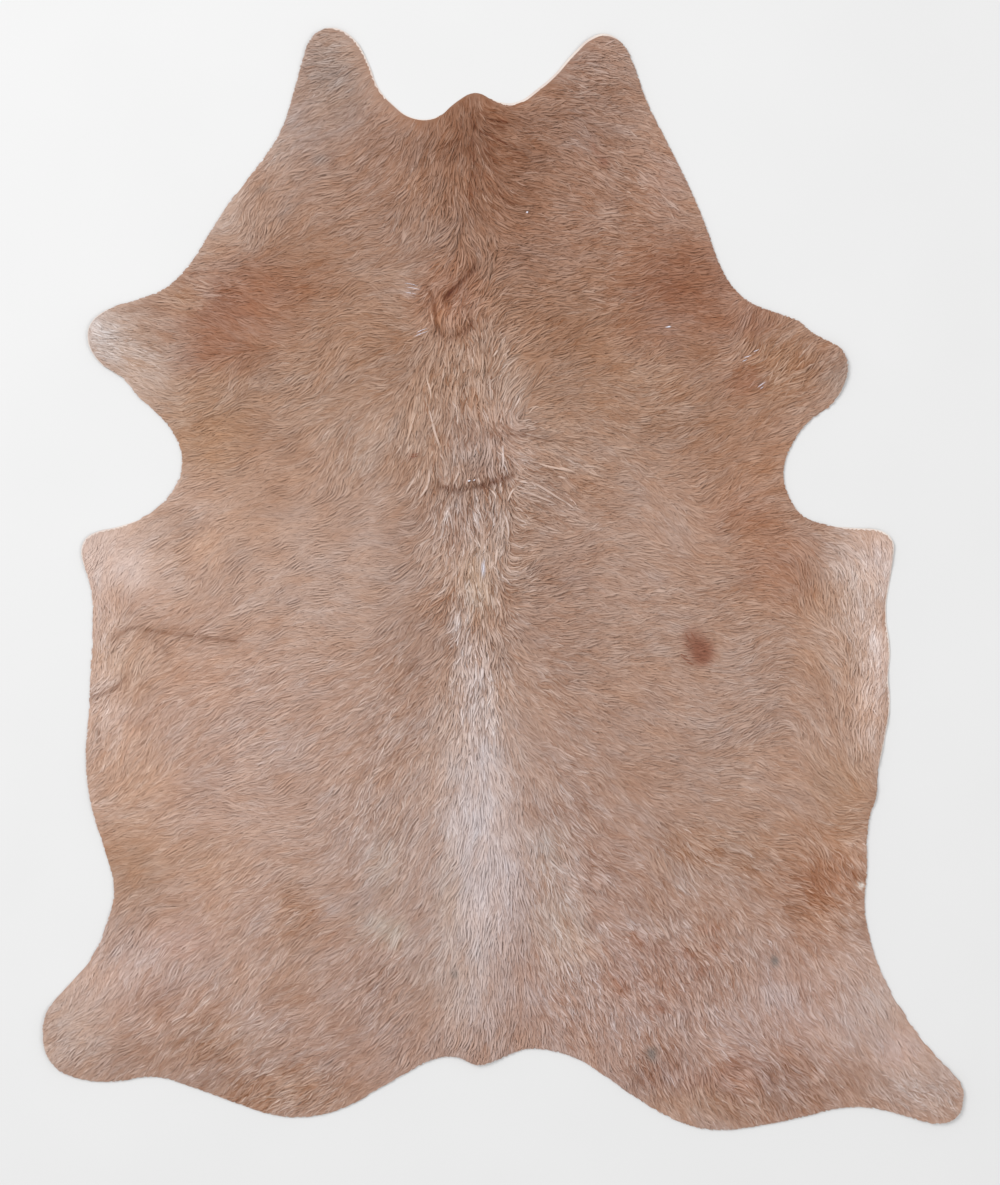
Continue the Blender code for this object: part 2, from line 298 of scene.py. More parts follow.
# Small marks, sharper than the patches
MARKS = tuple(starmap(Patch, (
    ("dark spot", 397, -145, 36, 41, Shade.COCOA, 1.0, 8, 0.4),
    ("dark spot, upper left", 380, -122, 36, 38, Shade.COCOA, 0.42, 0, 0.7),
    ("small red mark", -180, 246, 13, 7, Shade.COCOA, 0.5, 0, 0.3),
    # Painted shade: the brown in the withers' crease darkens it where shade falls into it
    ("brown in the withers' crease, left", -108, 183, 30, 8, Shade.COCOA, 0.3, -8),
    ("brown in the withers' crease, right", -10, 196, 38, 8, Shade.COCOA, 0.25, 12),
    ("brown mark on the neck", 202, 834, 16, 18, Shade.COCOA, 0.5, 0, 0.4),
    ("brown streak on the neck", 184, 862, 10, 30, Shade.COCOA, 0.3, 25, 0.4),
    ("white hairs, left of the whorl", -186, 570, 26, 16, Shade.LILAC_WHITE, 0.15, -25),
    ("white hairs, foreleg", 520, 392, 14, 9, Shade.LILAC_WHITE, 0.15),
    ("smudge on the left neck", -482, 778, 26, 14, Shade.SLATE, 0.3, 30),
    ("smudge on the left neck 2", -366, 838, 22, 14, Shade.SLATE, 0.25, 30),
    ("lilac streak", -39, 22, 6, 26, Shade.LILAC_WHITE, 0.8, 0, 0.1),
    ("grey smudge by the stripe", -98, -786, 13, 15, Shade.SLATE, 0.5),
    ("grey smudge, right haunch", 542, -768, 13, 17, Shade.SLATE, 0.8),
    ("grey smudge, right rump", 302, -950, 21, 26, Shade.SLATE, 0.6),
    ("nick on the right edge", 716, -614, 14, 9, Shade.CUT_LEATHER, 0.9, 0, 0.2),
)))


@dataclass(frozen=True)
class Tone(Oval):
    """A part of the coat that is off its patches, by thousandths of a step of frosting, ginger and rose."""

    frost: float
    blush: float
    rose: float = 0.0


TONES = tuple(starmap(Tone, (
    ("right neck lobe", 170, 988, 160, 225, -44, -26),
    ("poll", -82, 878, 160, 185, -60, 6),
    ("right of the poll", 54, 838, 160, 240, -32, 0),
    ("neck, right", 274, 758, 185, 295, -26, 6),
    ("neck centre", -26, 698, 160, 215, -40, 2),
    ("left neck, low", -416, 628, 185, 160, -70, 6),
    ("neck right, low", 174, 638, 240, 185, -30, -2),
    ("right neck edge", 374, 578, 160, 185, -54, -6, -6),
    ("whorl", -106, 548, 135, 135, 14, 42),
    ("right shoulder", 134, 498, 215, 185, -74, 2),
    ("left armpit", -536, 338, 215, 185, -56, -2),
    ("left of the spine", -306, 458, 215, 185, -50, 8),
    ("upper spine", -116, 368, 120, 160, -40, 2),
    ("pale wisps by the spine", 8, 408, 95, 135, 42, 12),
    ("right of the spine", 174, 318, 185, 185, -32, -10),
    ("right of the withers, outer", 374, 318, 215, 215, -40, -6),
    ("right foreleg", 574, 418, 215, 160, -40, 16),
    ("right armpit", 504, 218, 185, 215, -44, 30),
    ("above the withers", -46, 258, 145, 120, -70, -4),
    ("left of the withers", -226, 198, 215, 215, -38, 8),
    ("below the withers", -66, 118, 135, 135, -44, -24),
    ("left side, high", -446, 178, 240, 215, -10, 24),
    ("left flank top", -786, 58, 160, 135, -30, -2),
    ("right side, high", 514, 18, 240, 240, -34, 16),
    ("right of the stripe's start", 114, -42, 215, 240, -20, -10),
    ("left flank", -806, -182, 135, 215, 66, 16),
    ("inside the left flank", -626, -162, 215, 240, 0, 24),
    ("stripe, left side", -126, -422, 90, 405, 62, 0),
    ("right side, low", 234, -362, 295, 320, -30, -6),
    ("right flank edge", 718, -242, 95, 350, 40, 20),
    ("left flank, low", -746, -402, 185, 215, 34, 34),
    ("left haunch", -266, -542, 215, 215, 30, -12),
    ("left hind leg", -586, -602, 240, 215, 14, 26),
    ("right haunch", 234, -602, 215, 185, -36, -2),
    ("right haunch, outer", 474, -542, 215, 215, -18, 0),
    ("right flank, low", 634, -602, 160, 215, -42, 34),
    ("left rump", -486, -822, 215, 160, 38, 14),
    ("left foot", -766, -842, 240, 185, -4, 28),
    ("stripe, end", -106, -782, 160, 215, 30, 2, -6),
    ("right hind leg", 634, -842, 185, 185, -50, 14, 6),
    ("right rump edge", 554, -1022, 215, 135, -72, -14),
    ("across the poll", -46, 882, 170, 65, 50, 4),
    ("neck, inner left", -256, 858, 110, 90, -28, 0),
    ("neck, outer left", -406, 888, 80, 110, 30, -24),
    ("tuft of the whorl", -106, 558, 80, 80, 20, -18),
    ("right of the whorl", -10, 560, 70, 80, -44, 6),
    ("left of the whorl", -306, 566, 90, 70, -26, 8),
    ("left foreleg, inner", -706, 458, 70, 70, -46, -8),
    ("below the left shoulder", -506, 440, 80, 70, -56, -2),
    ("pink place above the withers", -66, 242, 60, 58, 74, -8),
    ("left side, top", -456, 158, 100, 70, -42, -18),
    ("right of the withers, low", 194, 158, 90, 80, -46, 2),
    ("right shoulder, foot", 394, 458, 80, 70, -38, -6),
    ("left flank, inner corner", -606, 58, 80, 70, 42, 52),
    ("long wrinkle", -756, -42, 110, 60, -88, -12),
    ("right flank, high", 644, -42, 110, 80, -56, 18),
    ("start of the stripe", -50, -92, 60, 170, -38, 12),
    ("stripe, middle", -20, -242, 60, 90, 38, 10),
    ("left hip", -606, -442, 150, 60, -40, -2),
    ("right of the stripe", 194, -242, 90, 90, -20, 4),
    ("left of the stripe, low", -206, -542, 70, 80, 28, 10),
    ("left of the stripe's end", -206, -752, 70, 80, 20, -2),
    ("right of the stripe, low", 94, -542, 80, 90, 42, -12, -8),
    ("pale place on the right haunch", 370, -602, 50, 70, 48, -10),
    ("right haunch, inner", 294, -642, 70, 60, -48, 2),
    ("right hip", 594, -642, 80, 80, -60, -12),
    ("right flank, lowest", 694, -542, 70, 70, 32, 10),
    ("right haunch, middle", 394, -742, 70, 60, -46, 12),
    ("right thigh", 560, -842, 100, 80, 58, -16),
    ("right rump, middle", 294, -1002, 110, 70, -50, -22),
    ("right foot, upper", 794, -942, 80, 70, 66, 0, 8),
    ("left rump, outer", -706, -842, 80, 60, -86, -8),
    ("left rump, inner", -406, -842, 80, 60, -50, 10),
    ("left rump, middle", -506, -880, 80, 90, 36, -18),
    ("upper left half", -350, 330, 760, 660, -2, 8, -6),
    ("neck", 0, 900, 600, 400, -36, 2),
    ("hind part", 100, -1000, 1300, 620, 2, -6, 6),
    ("left foot, pink", -740, -800, 220, 160, 16, 0, 8),
    ("right edge of the spine", -6, 108, 45, 110, 32, 0),
    ("right of the withers, inner", 94, 178, 60, 130, -32, -18),
    ("left foreleg, tip", -806, 458, 70, 60, 34, -12),
    ("left armpit, inner", -606, 358, 70, 60, 30, 2),
    ("below the left armpit", -406, 338, 80, 70, 18, -4),
    ("right armpit, inner", 494, 158, 60, 60, 36, 2),
    ("right side, edge", 594, -262, 70, 170, -24, 8),
    ("right side, low edge", 494, -342, 70, 60, 24, 10),
    ("left side, hip", -450, -342, 120, 70, 36, -4),
    ("left of the stripe, middle", -106, -442, 60, 70, -42, 2),
    ("above the right haunch", 294, -542, 70, 60, 24, -4),
    ("left rump edge, outer", -506, -1042, 90, 50, -42, -2),
    ("left rump edge, inner", -606, -942, 60, 50, -32, 10),
    ("left rump, foot", -506, -942, 60, 50, 30, -2),
    ("right rump, low", 340, -942, 110, 60, -32, -2),
    ("left foot, tip", -906, -942, 60, 60, 32, 10),
    ("right of the whorl, outer", 194, 558, 70, 60, 24, 0),
    ("neck, right of the middle", 94, 758, 60, 60, 24, 4),
    ("stripe, low left", -110, -620, 50, 150, -34, 16, -6),
    ("stripe, low right", 20, -620, 50, 150, 24, -8),
    ("left hind leg, inner", -640, -720, 120, 70, 16, 2, 6),
    ("brown band on the left haunch", -412, -680, 70, 190, -24, 6),
    ("straw hair", -242, -702, 90, 60, 20, -16),
    ("poll, left", -150, 880, 70, 80, -36, -8),
    ("below the poll", -60, 790, 100, 80, 26, 10),
    ("poll, tip", -60, 914, 64, 46, 42, 4),
)))


# Strokes of the comb: each runs with the hair from its roots to its tips, as across and along in
# mm for every corner of its line
STROKES: dict[str, Rows] = {
    "fanning from the poll": (
        (-70, 954, -68, 832, -58, 750, -54, 730, -32, 696),
        (-56, 928, -74, 890, -114, 844, -132, 808, -146, 768, -148, 706),
        (-58, 932, 54, 886, 114, 884, 146, 860, 178, 808, 210, 784),
        (-68, 898, -24, 854, 10, 832, 30, 824, 90, 824, 186, 782, 306, 752, 374, 706),
        (-70, 800, -52, 742, 20, 708, 62, 708, 160, 690, 404, 692),
        (-142, 918, -162, 834, -188, 798, -218, 768, -292, 726),
        (-204, 912, -262, 854, -394, 794, -428, 770, -456, 740, -482, 682),
    ),
    "left neck lobe": (
        (-300, 1046, -386, 1022), (-294, 986, -308, 970, -414, 906), (-306, 896, -414, 838, -470, 776),
    ),
    "right neck lobe": (
        (150, 1050, 192, 1050, 252, 1028), (110, 990, 274, 958),
        (74, 938, 94, 944, 134, 934, 204, 892, 282, 868, 356, 830),
    ),
    "foot of the neck": (
        (-176, 744, -200, 686, -234, 662, -434, 612, -598, 608),
        (-16, 608, 22, 622, 102, 610, 202, 618, 382, 654, 442, 648), (-66, 688, -56, 644, -58, 622, -70, 602),
    ),
    "whorl of the neck": (
        (-56, 618, -84, 554, -86, 530), (-92, 582, -112, 576, -128, 560, -130, 538, -116, 496),
        (-124, 546, -138, 528, -196, 490),
        (-180, 582, -282, 584, -430, 512, -470, 520, -526, 544, -608, 552, -686, 578),
        (-192, 500, -210, 510, -332, 528, -350, 522, -386, 472, -426, 464, -486, 474, -556, 516, -594, 528),
    ),
    "left shoulder and foreleg": (
        (-602, 470, -666, 466, -788, 512), (-602, 386, -644, 372, -664, 378, -818, 458),
        (-640, 530, -770, 540), (-492, 440, -570, 342), (-296, 482, -330, 464, -362, 390),
        (-392, 448, -460, 442, -498, 416), (-480, 314, -524, 318, -630, 300),
    ),
    "spine, upper": (
        (-78, 464, -108, 392, -116, 192), (-146, 458, -166, 400, -182, 278, -214, 204),
        (-72, 478, -38, 282, -42, 242), (-22, 350, -18, 290, -32, 252),
        (-50, 510, -34, 550, -2, 574, 102, 580), (-36, 414, -22, 454, 2, 488, 100, 528),
        (62, 436, 18, 392, 0, 354), (40, 416, 10, 378, -6, 332),
        (-96, 176, -96, 136, -72, 82, -74, 62, -94, 26), (-48, 188, -52, 168, -34, 64, -48, 2),
        (10, 186, -38, 44), (-112, 158, -160, 22),
    ),
    "left of the withers": (
        (-176, 344, -226, 246, -270, 198), (-232, 354, -290, 296, -344, 188),
        (-318, 372, -440, 300, -560, 292), (-368, 276, -394, 246, -454, 232, -626, 164),
        (-164, 244, -192, 190, -208, 178, -354, 110, -510, 72, -576, 24, -612, -24, -668, -42),
    ),
    "left side": (
        (-136, 94, -172, 74, -252, 74, -510, 16, -542, -10, -592, -74, -628, -92),
        (-130, 10, -154, -20, -230, -46, -308, -36, -428, -50, -518, -90, -636, -120),
        (-146, -16, -222, -114, -270, -152, -424, -208, -594, -322),
        (-126, -124, -148, -158, -214, -208, -306, -318, -378, -354, -462, -414, -580, -450),
        (-106, -302, -142, -398, -188, -488), (-186, -334, -226, -382, -302, -508),
        (-314, -370, -366, -432, -402, -448, -462, -456, -600, -442, -640, -450, -690, -482),
        (-412, -538, -474, -546, -522, -586, -612, -634, -694, -652, -728, -674),
    ),
    "left haunch": (
        (-66, -536, -130, -642, -198, -722), (-176, -564, -220, -638, -294, -714, -330, -740),
        (-260, -592, -318, -648, -414, -680, -468, -712, -526, -794), (-476, -646, -620, -770, -706, -864),
        (-616, -672, -684, -718, -724, -816, -770, -886), (-72, -726, -128, -864, -154, -900),
        (-164, -800, -196, -826, -240, -892, -376, -978), (-330, -830, -378, -874, -506, -954, -538, -982),
        (-696, -858, -750, -894, -810, -916, -860, -958), (-736, -712, -800, -820),
    ),
    "left flank edge": (
        (-804, 58, -814, 12, -812, -60), (-742, 54, -776, 30, -788, -56),
        (-702, 42, -740, 24, -754, 6, -778, -76), (-628, -26, -710, -62, -762, -108),
        (-790, -124, -792, -184, -800, -204, -840, -248), (-730, -146, -758, -204, -798, -252, -812, -292),
        (-624, -202, -700, -234, -756, -322), (-698, -334, -724, -366, -742, -406, -796, -440),
        (-700, -498, -800, -526),
    ),
    "stripe down the spine": (
        (-30, -2, -44, -620, -62, -860, -76, -938),
        (-24, -30, -16, -88, -32, -368, -78, -644, -112, -738, -162, -800, -226, -902),
        (-40, -24, -32, -84, -40, -286, -4, -484, 18, -686, -2, -926),
    ),
    "right of the withers": (
        (4, 170, 14, 152, 98, 128), (2, 90, 20, 74, 64, 90, 110, 86), (12, 16, 30, 4, 78, 52, 100, 56),
        (2, -4, 10, -24, 28, -34, 110, -28),
        (-8, 308, 6, 294, 26, 290, 66, 296, 126, 284, 186, 284, 294, 230, 314, 224, 352, 232),
        (6, 288, 26, 252, 174, 176, 318, 152, 372, 124),
        (4, 220, 6, 200, 20, 186, 82, 180, 168, 124, 208, 114, 270, 112, 316, 74),
    ),
    "right shoulder": (
        (66, 534, 142, 556, 242, 570, 296, 594, 456, 610), (70, 474, 162, 514, 240, 530, 294, 558, 394, 562),
        (74, 426, 258, 452, 334, 486, 416, 482), (80, 368, 182, 374, 260, 346, 280, 346, 414, 396, 514, 420),
        (328, 310, 370, 314, 488, 352, 564, 388, 594, 416), (376, 256, 418, 258, 540, 332, 600, 350),
        (428, 168, 494, 218, 556, 230), (302, 170, 332, 138, 378, 44),
        (448, 84, 468, 90, 496, 120, 578, 110, 636, 128),
    ),
    "right foreleg": (
        (482, 466, 520, 552), (526, 434, 564, 482, 616, 514), (548, 368, 610, 426, 662, 460),
        (560, 322, 620, 342, 668, 382),
    ),
    "right side": (
        (66, 66, 126, 66, 184, 80, 224, 80, 456, 14, 516, 20, 554, 6),
        (22, -30, 80, -22, 220, -40, 258, -52, 338, -44, 418, -52, 498, -46, 538, -54),
        (4, -94, 58, -122, 138, -130, 300, -120, 458, -160, 478, -158, 530, -126, 550, -122),
        (-4, -116, 30, -166, 48, -176, 88, -178, 164, -204, 244, -214, 414, -278, 434, -278, 528, -240),
        (2, -164, 54, -224, 110, -250, 154, -290, 238, -346, 374, -376, 496, -382, 550, -406),
        (-2, -228, 60, -308, 182, -380, 238, -436, 306, -482, 366, -536, 412, -600, 458, -642, 490, -692,
        526, -710),
    ),
    "right haunch": (
        (-16, -364, 22, -410, 124, -582, 174, -644, 246, -714), (14, -474, 44, -598, 84, -694, 138, -786),
        (-4, -622, 60, -850), (294, -550, 386, -684, 440, -744, 476, -818),
        (420, -566, 498, -590, 546, -628, 626, -638, 702, -704), (108, -756, 152, -856, 174, -938, 196, -976),
        (204, -728, 250, -796, 366, -1012), (356, -778, 428, -924, 516, -972, 542, -1004),
        (494, -724, 534, -794, 566, -890, 608, -932), (654, -790, 692, -838, 762, -962, 852, -1044),
        (604, -956, 660, -1018, 710, -1058),
    ),
    "right flank edge": (
        (584, 66, 602, 50, 632, -38), (640, 66, 660, 60, 674, 44, 686, -58),
        (672, 60, 710, 48, 722, 28, 726, -54), (746, 68, 758, 26, 750, -60),
        (590, -106, 628, -126, 674, -170, 702, -250), (708, -120, 710, -162, 694, -240, 696, -300, 704, -318),
        (780, -124, 726, -284, 728, -326), (588, -234, 624, -252, 658, -324, 702, -392),
        (602, -434, 650, -478, 672, -484, 734, -464, 754, -476, 764, -494),
    ),
    "small turns of the coat": (
        (612, -528, 652, -600), (-206, 410, -286, 386), (196, -544, 272, -578), (436, -340, 508, -298),
        (-94, 706, -158, 652), (512, -514, 594, -536), (314, -470, 396, -488), (-286, -130, -368, -118),
    ),
}


@dataclass(frozen=True)
class Zone(Oval):
    """A zone of the hide where one measure of the hair differs from the rest."""

    value: float


@dataclass(frozen=True)
class Measure:
    """One measure of the hair: its usual value, a row for each zone, and the size of its unit."""

    usual: float
    zones: tuple[tuple, ...]
    scale: float = 1.0

    def at(self, points: np.ndarray) -> np.ndarray:
        """Works out the measure.

        Args:
            points: places in metres.

        Returns:
            The measure at each place.
        """
        measure = np.full(len(points), self.usual)
        for zone in (Zone(*row) for row in self.zones):
            measure += (zone.value - measure) * zone.weight(points)
        return measure * self.scale


# How long the hair is, in mm in its rows
LENGTH = Measure(25.0, scale=MM, zones=(
    ("poll", -50, 870, 150, 180, 36),
    ("whorl of the neck", -100, 560, 130, 130, 34),
    ("spine, upper", -60, 330, 170, 260, 44),
    ("spine, below the withers", -60, 80, 150, 230, 46),
    ("stripe", -40, -400, 120, 560, 36),
    ("left foreleg tip", -790, 470, 110, 90, 17),
    ("right foreleg tip", 670, 410, 90, 90, 20),
    ("left foot", -860, -900, 140, 140, 16),
    ("right foot", 860, -1030, 160, 120, 16),
    ("right haunch", 340, -780, 320, 230, 18),
    ("left neck lobe", -350, 1010, 120, 130, 18),
    ("right neck lobe", 190, 1030, 110, 110, 20),
    ("pink place above the withers", -54, 244, 62, 64, 14),
))

# How far locks stand out from each other: 1 is the sleek coat of the sides
TUFTING = Measure(1.0, zones=(
    ("right side, outer", 560, -60, 210, 500, 1.35),
    ("left side, upper", -430, 90, 380, 320, 0.3),
    ("right side, upper", 290, 340, 180, 120, 1.5),
    ("left side, low", -406, -420, 110, 90, 0.6),
    ("left flank corner", -750, 40, 180, 140, 0.2),
    ("left of the withers", -300, 262, 100, 100, 1.8),
    ("left flank, low", -706, -542, 100, 80, 0.6),
    ("neck", 30, 800, 420, 230, 1.35),
    ("poll and neck centre", -56, 800, 150, 220, 1.6),
    ("neck, right of the middle", 240, 710, 170, 260, 1.8),
    ("right shoulder, inner", 200, 550, 100, 90, 1.8),
    ("left of the upper spine", -220, 420, 100, 330, 1.2),
    ("right neck lobe", 150, 990, 150, 140, 2.1),
    ("left neck lobe", -340, 1050, 100, 90, 1.4),
    ("whorl of the neck", -100, 558, 120, 120, 1.6),
    ("spine, upper", -60, 350, 150, 220, 2.2),
    ("withers", -50, 170, 160, 150, 3.3),
    ("below the withers", -56, -20, 130, 200, 2.7),
    ("start of the stripe", -56, -180, 110, 200, 2.5),
    ("right of the withers", 100, 180, 130, 130, 2.2),
    ("stripe", -50, -600, 100, 320, 0.6),
    ("left of the stripe", -216, -280, 120, 260, 2.1),
    ("right of the stripe's start", 100, -190, 80, 150, 1.7),
    ("right edge of the stripe", 0, -640, 40, 110, 1.2),
    ("end of the stripe", -6, -942, 70, 90, 1.6),
    ("left of the stripe's end", -250, -800, 120, 180, 2),
    ("left haunch, outer", -450, -660, 140, 110, 1.7),
    ("left haunch", -270, -480, 150, 170, 1.9),
    ("right of the stripe, low", 130, -540, 130, 360, 2.7),
    ("right haunch", 324, -780, 400, 300, 2.5),
    ("beside the end of the stripe", 150, -830, 120, 150, 3.2),
    ("above the right haunch", 400, -560, 280, 120, 2.5),
    ("left of the neck's middle", -200, 740, 90, 150, 1.6),
    ("right rump", 534, -1002, 280, 180, 2.8),
    ("right rump, inner", 300, -960, 110, 100, 3.2),
    ("right foot", 840, -1040, 200, 90, 2.2),
    ("right hip", 650, -640, 170, 160, 3),
    ("right hind leg", 640, -830, 150, 120, 1.9),
    ("left rump", -560, -900, 320, 190, 2),
    ("left rump edge", -450, -1020, 220, 100, 2.8),
    ("left foot", -820, -850, 130, 110, 0.7),
    ("left rump, high", -506, -830, 90, 70, 1.4),
    ("left flank edge", -816, -200, 80, 260, 1.6),
    ("right flank edge", 734, -142, 110, 380, 2),
    ("right flank, low", 690, -560, 120, 160, 2.6),
    ("right foreleg", 544, 428, 180, 120, 2.3),
    ("left foreleg", -770, 460, 150, 110, 2.1),
    ("left shoulder rim", -580, 575, 140, 80, 1.9),
    ("pink place above the withers", -56, 242, 56, 60, 0.7),
))

# How far locks swing from side to side, in mm in its rows
WAVE = Measure(0.9, scale=MM, zones=(
    ("right of the poll", 20, 860, 150, 120, 2.6),
    ("whorl of the neck", -80, 540, 150, 130, 3),
    ("spine, upper", -60, 340, 160, 240, 2.8),
    ("right of the withers", 90, 200, 220, 180, 2.4),
    ("below the withers", -60, 60, 160, 180, 2.6),
    ("right foreleg", 560, 440, 170, 130, 2.4),
    ("left foreleg", -720, 440, 150, 110, 1.4),
    ("left flank edge", -790, -140, 90, 220, 2.2),
    ("right flank", 640, -100, 180, 260, 1.7),
    ("right side", 330, -200, 330, 330, 1.6),
    ("stripe", -50, -560, 110, 380, 0.4),
    ("neck, right", 260, 780, 260, 170, 1.5),
))

# The chance that a group of wisps lies at a place of the strewing
WISPINESS = Measure(0.38, zones=(
    ("right side", 330, -200, 360, 320, 0.6),
    ("left haunch", -330, -700, 260, 260, 0.6),
    ("left rump", -620, -880, 220, 150, 0.6),
    ("left side", -330, -260, 260, 300, 0.5),
    ("right haunch", 294, -742, 380, 260, 0.95),
    ("right rump", 500, -980, 260, 140, 0.9),
    ("stripe", -40, -500, 150, 500, 0.75),
    ("spine", -56, 250, 170, 380, 0.9),
    ("below the withers", -50, -60, 150, 200, 0.9),
    ("poll and neck centre", -60, 790, 180, 200, 0.8),
    ("neck, right", 190, 780, 200, 200, 0.6),
    ("right foreleg", 560, 430, 170, 130, 0.8),
    ("left flank edge", -800, -150, 90, 260, 0.6),
    ("right flank edge", 730, -150, 110, 300, 0.5),
    ("left shoulder", -560, 520, 220, 160, 0.15),
    ("right shoulder", 360, 540, 240, 180, 0.15),
    ("left flank corner", -780, 30, 170, 150, 0.0),
    ("dark spot", 398, -146, 90, 90, 0.0),
    ("pink place above the withers", -54, 244, 62, 64, 0.0),
))

# Wisps placed as they lie on the real hide. Each row is a width in mm, a step of frosting in
# hundredths, and the line from root to tip, as across and along in mm for every point of it.
# A negative step draws a dark line where the hair parts: painted shade.
WISPS: dict[str, Rows] = {
    "poll and neck": (
        (2, -12, -44, 900, -34, 892, -20, 882, -6, 876, 8, 870, 18, 862, 30, 856),
        (2, -10, -24, 914, -12, 906, 0, 904, 12, 902), (2, -10, -12, 922, 0, 916, 14, 912),
        (2, -9, -54, 902, -46, 896, -36, 886), (2.5, -10, -42, 878, -40, 862, -32, 848, -22, 844),
        (2.5, -10, -58, 878, -56, 858, -58, 838, -62, 822), (2, -10, -40, 814, -32, 802, -22, 794),
        (2.5, 9, -112, 746, -100, 742),
    ),
    "whorl and upper spine": (
        (2.5, 11, -140, 558, -146, 536, -140, 512, -136, 496), (3, 12, -8, 464, -14, 452, -22, 442),
        (3, 10, 12, 374, 4, 362, 0, 348), (3, 10, 36, 368, 30, 354, 22, 340),
        (3.5, 12, -100, 318, -106, 304, -108, 292, -112, 278), (2.5, -9, -78, 488, -66, 480, -54, 466),
        (2, -9, -14, 402, -8, 408, 2, 414), (2, -9, -22, 296, -12, 290, -4, 282, -4, 266),
    ),
    "withers": (
        (3, 9, -166, 382, -176, 348, -186, 308, -192, 260), (3, 9, -178, 276, -190, 256, -196, 246),
        (2.5, 9, -194, 282, -210, 256, -218, 246), (3, 13, -84, 230, -90, 208, -104, 182),
        (4, 12, -142, 238, -148, 220, -148, 198, -152, 180, -164, 166, -178, 150),
        (3, 10, -166, 218, -178, 198, -192, 178, -198, 162), (2.5, 9, -28, 278, -30, 256, -32, 238),
        (3.5, 12, 2, 282, -2, 256, 2, 238, -2, 216), (4, 13, 0, 158, 4, 128, 12, 98, 10, 68),
        (4, 10, -4, 134, 0, 98, -4, 68), (4, 10, -16, 78, -12, 54, -16, 20),
        (4, 13, -160, 378, -154, 352, -142, 326, -140, 298, -128, 272, -118, 236),
        (3, 12, -154, 420, -152, 398, -144, 376, -144, 352), (2, -12, -162, 372, -154, 344, -146, 318),
        (3.5, 12, -166, 362, -172, 338, -184, 312, -186, 286, -202, 258),
        (3, 9, -118, 166, -114, 144, -104, 126, -100, 92), (3, 9, -60, 156, -54, 124, -46, 90),
    ),
    "right of the withers": (
        (3.5, 13, 22, 200, 44, 202, 66, 190, 90, 178, 112, 158, 130, 154, 150, 140),
        (3, 12, 4, 293, 52, 290, 106, 274), (3, 12, 44, 238, 66, 236, 86, 224, 112, 222, 150, 210),
        (3.5, 12, 12, 172, 36, 178, 58, 172, 78, 160, 100, 156, 118, 142),
        (3, -11, 26, 234, 50, 220, 84, 210), (3, -10, 30, 160, 62, 152, 92, 134),
        (3.5, 10, 94, 226, 118, 222, 138, 216, 150, 210), (3, 10, 108, 206, 128, 200),
        (2.5, 12, 128, 164, 140, 156, 150, 144), (2.5, 11, 120, 158, 134, 148, 144, 138),
        (3, 9, 18, 202, 32, 198), (3.5, 12, 34, 190, 20, 180, 12, 164, 8, 150),
        (2.5, -11, 118, 232, 130, 222), (3, -10, 10, 166, 18, 182, 26, 194), (2, -12, 134, 162, 146, 148),
    ),
    "start of the stripe": (
        (3.5, 10, -76, 24, -82, 12, -88, -2), (3.5, 11, -94, 4, -100, -10, -106, -26, -114, -40),
        (3, 9, -64, 2, -72, -10, -76, -26), (3.5, 9, -92, -42, -96, -56, -104, -66, -110, -76),
        (3.5, 9, -84, -56, -90, -72, -92, -88, -94, -104), (3.5, 11, -18, -32, -10, -44, -4, -58),
        (3.5, 9, -6, -54, -4, -70, 0, -86), (2.5, -9, -82, 22, -88, 10, -92, 0),
        (3, -9, -102, -20, -110, -36, -114, -46), (2.5, -11, 6, -64, 18, -74, 36, -88),
        (2.5, -11, 10, -106, 20, -118, 36, -120), (3, -10, -26, -38, -24, -54, -16, -70, -14, -82),
        (3, -9, -38, -34, -36, -52, -28, -68, -26, -84),
    ),
}

# Single hairs and small tufts of a colour of their own, written the same way
ODD_HAIRS: dict[Shade, Rows] = {
    Shade.LILAC_WHITE: (
        (4, 0, 45, 734, 51, 733), (3, 0, 322, 504, 338, 505), (3, 0, -72, 195, -64, 197),
        (2, 0, -60, 196, -55, 199), (1.0, 0, -150, 502, -162, 498, -178, 490),
        (0.7, 0, -144, 498, -160, 492, -174, 488), (0.7, 0, -152, 494, -164, 490, -180, 484),
        (0.7, 0, -166, 584, -182, 590, -200, 592), (0.7, 0, -160, 576, -178, 582, -198, 584),
        (0.8, 0, -168, 568, -184, 572, -202, 574), (1.2, 0, 528, 396, 518, 390, 508, 382),
        (1, 0, 522, 386, 514, 380), (1.2, 0, 508, 454, 494, 446, 478, 442), (1, 0, 490, 440, 476, 434),
        (1, 0, 514, 460, 500, 454),
    ),
    Shade.COCOA: (
        (1.8, 0, 346, -144, 358, -152, 374, -158), (1.8, 0, 352, -152, 364, -160, 378, -164),
        (1.8, 0, 360, -162, 372, -168, 384, -172), (1.5, 0, 362, -102, 370, -118, 378, -132),
        (1.5, 0, 354, -122, 366, -132, 378, -142), (1.5, 0, 372, -100, 380, -114, 388, -126),
        (2.2, 0, -192, 247, -180, 244, -168, 247), (2, 0, -188, 250, -178, 249, -167, 251),
    ),
}


@dataclass(frozen=True)
class Course:
    """A line of straight runs over the hide, as across and along in mm for every corner."""

    place: str
    line: tuple[float, ...]

    @property
    def corners(self) -> np.ndarray:
        """The line's corners in metres, one row each."""
        return np.reshape(self.line, (-1, 2)) * MM

    def gap(self, points: np.ndarray) -> np.ndarray:
        """Measures how far places lie from the line.

        Args:
            points: places in metres.

        Returns:
            The distance of each place, in metres.
        """
        nearest = np.full(len(points), np.inf)
        for start, end in zip(self.corners[:-1], self.corners[1:]):
            run = end - start
            share = np.clip((points[:, :2] - start) @ run / (run @ run), 0.0, 1.0)
            gap = points[:, :2] - start - share[:, None] * run
            nearest = np.minimum(nearest, np.sqrt((gap**2).sum(axis=1)))
        return nearest


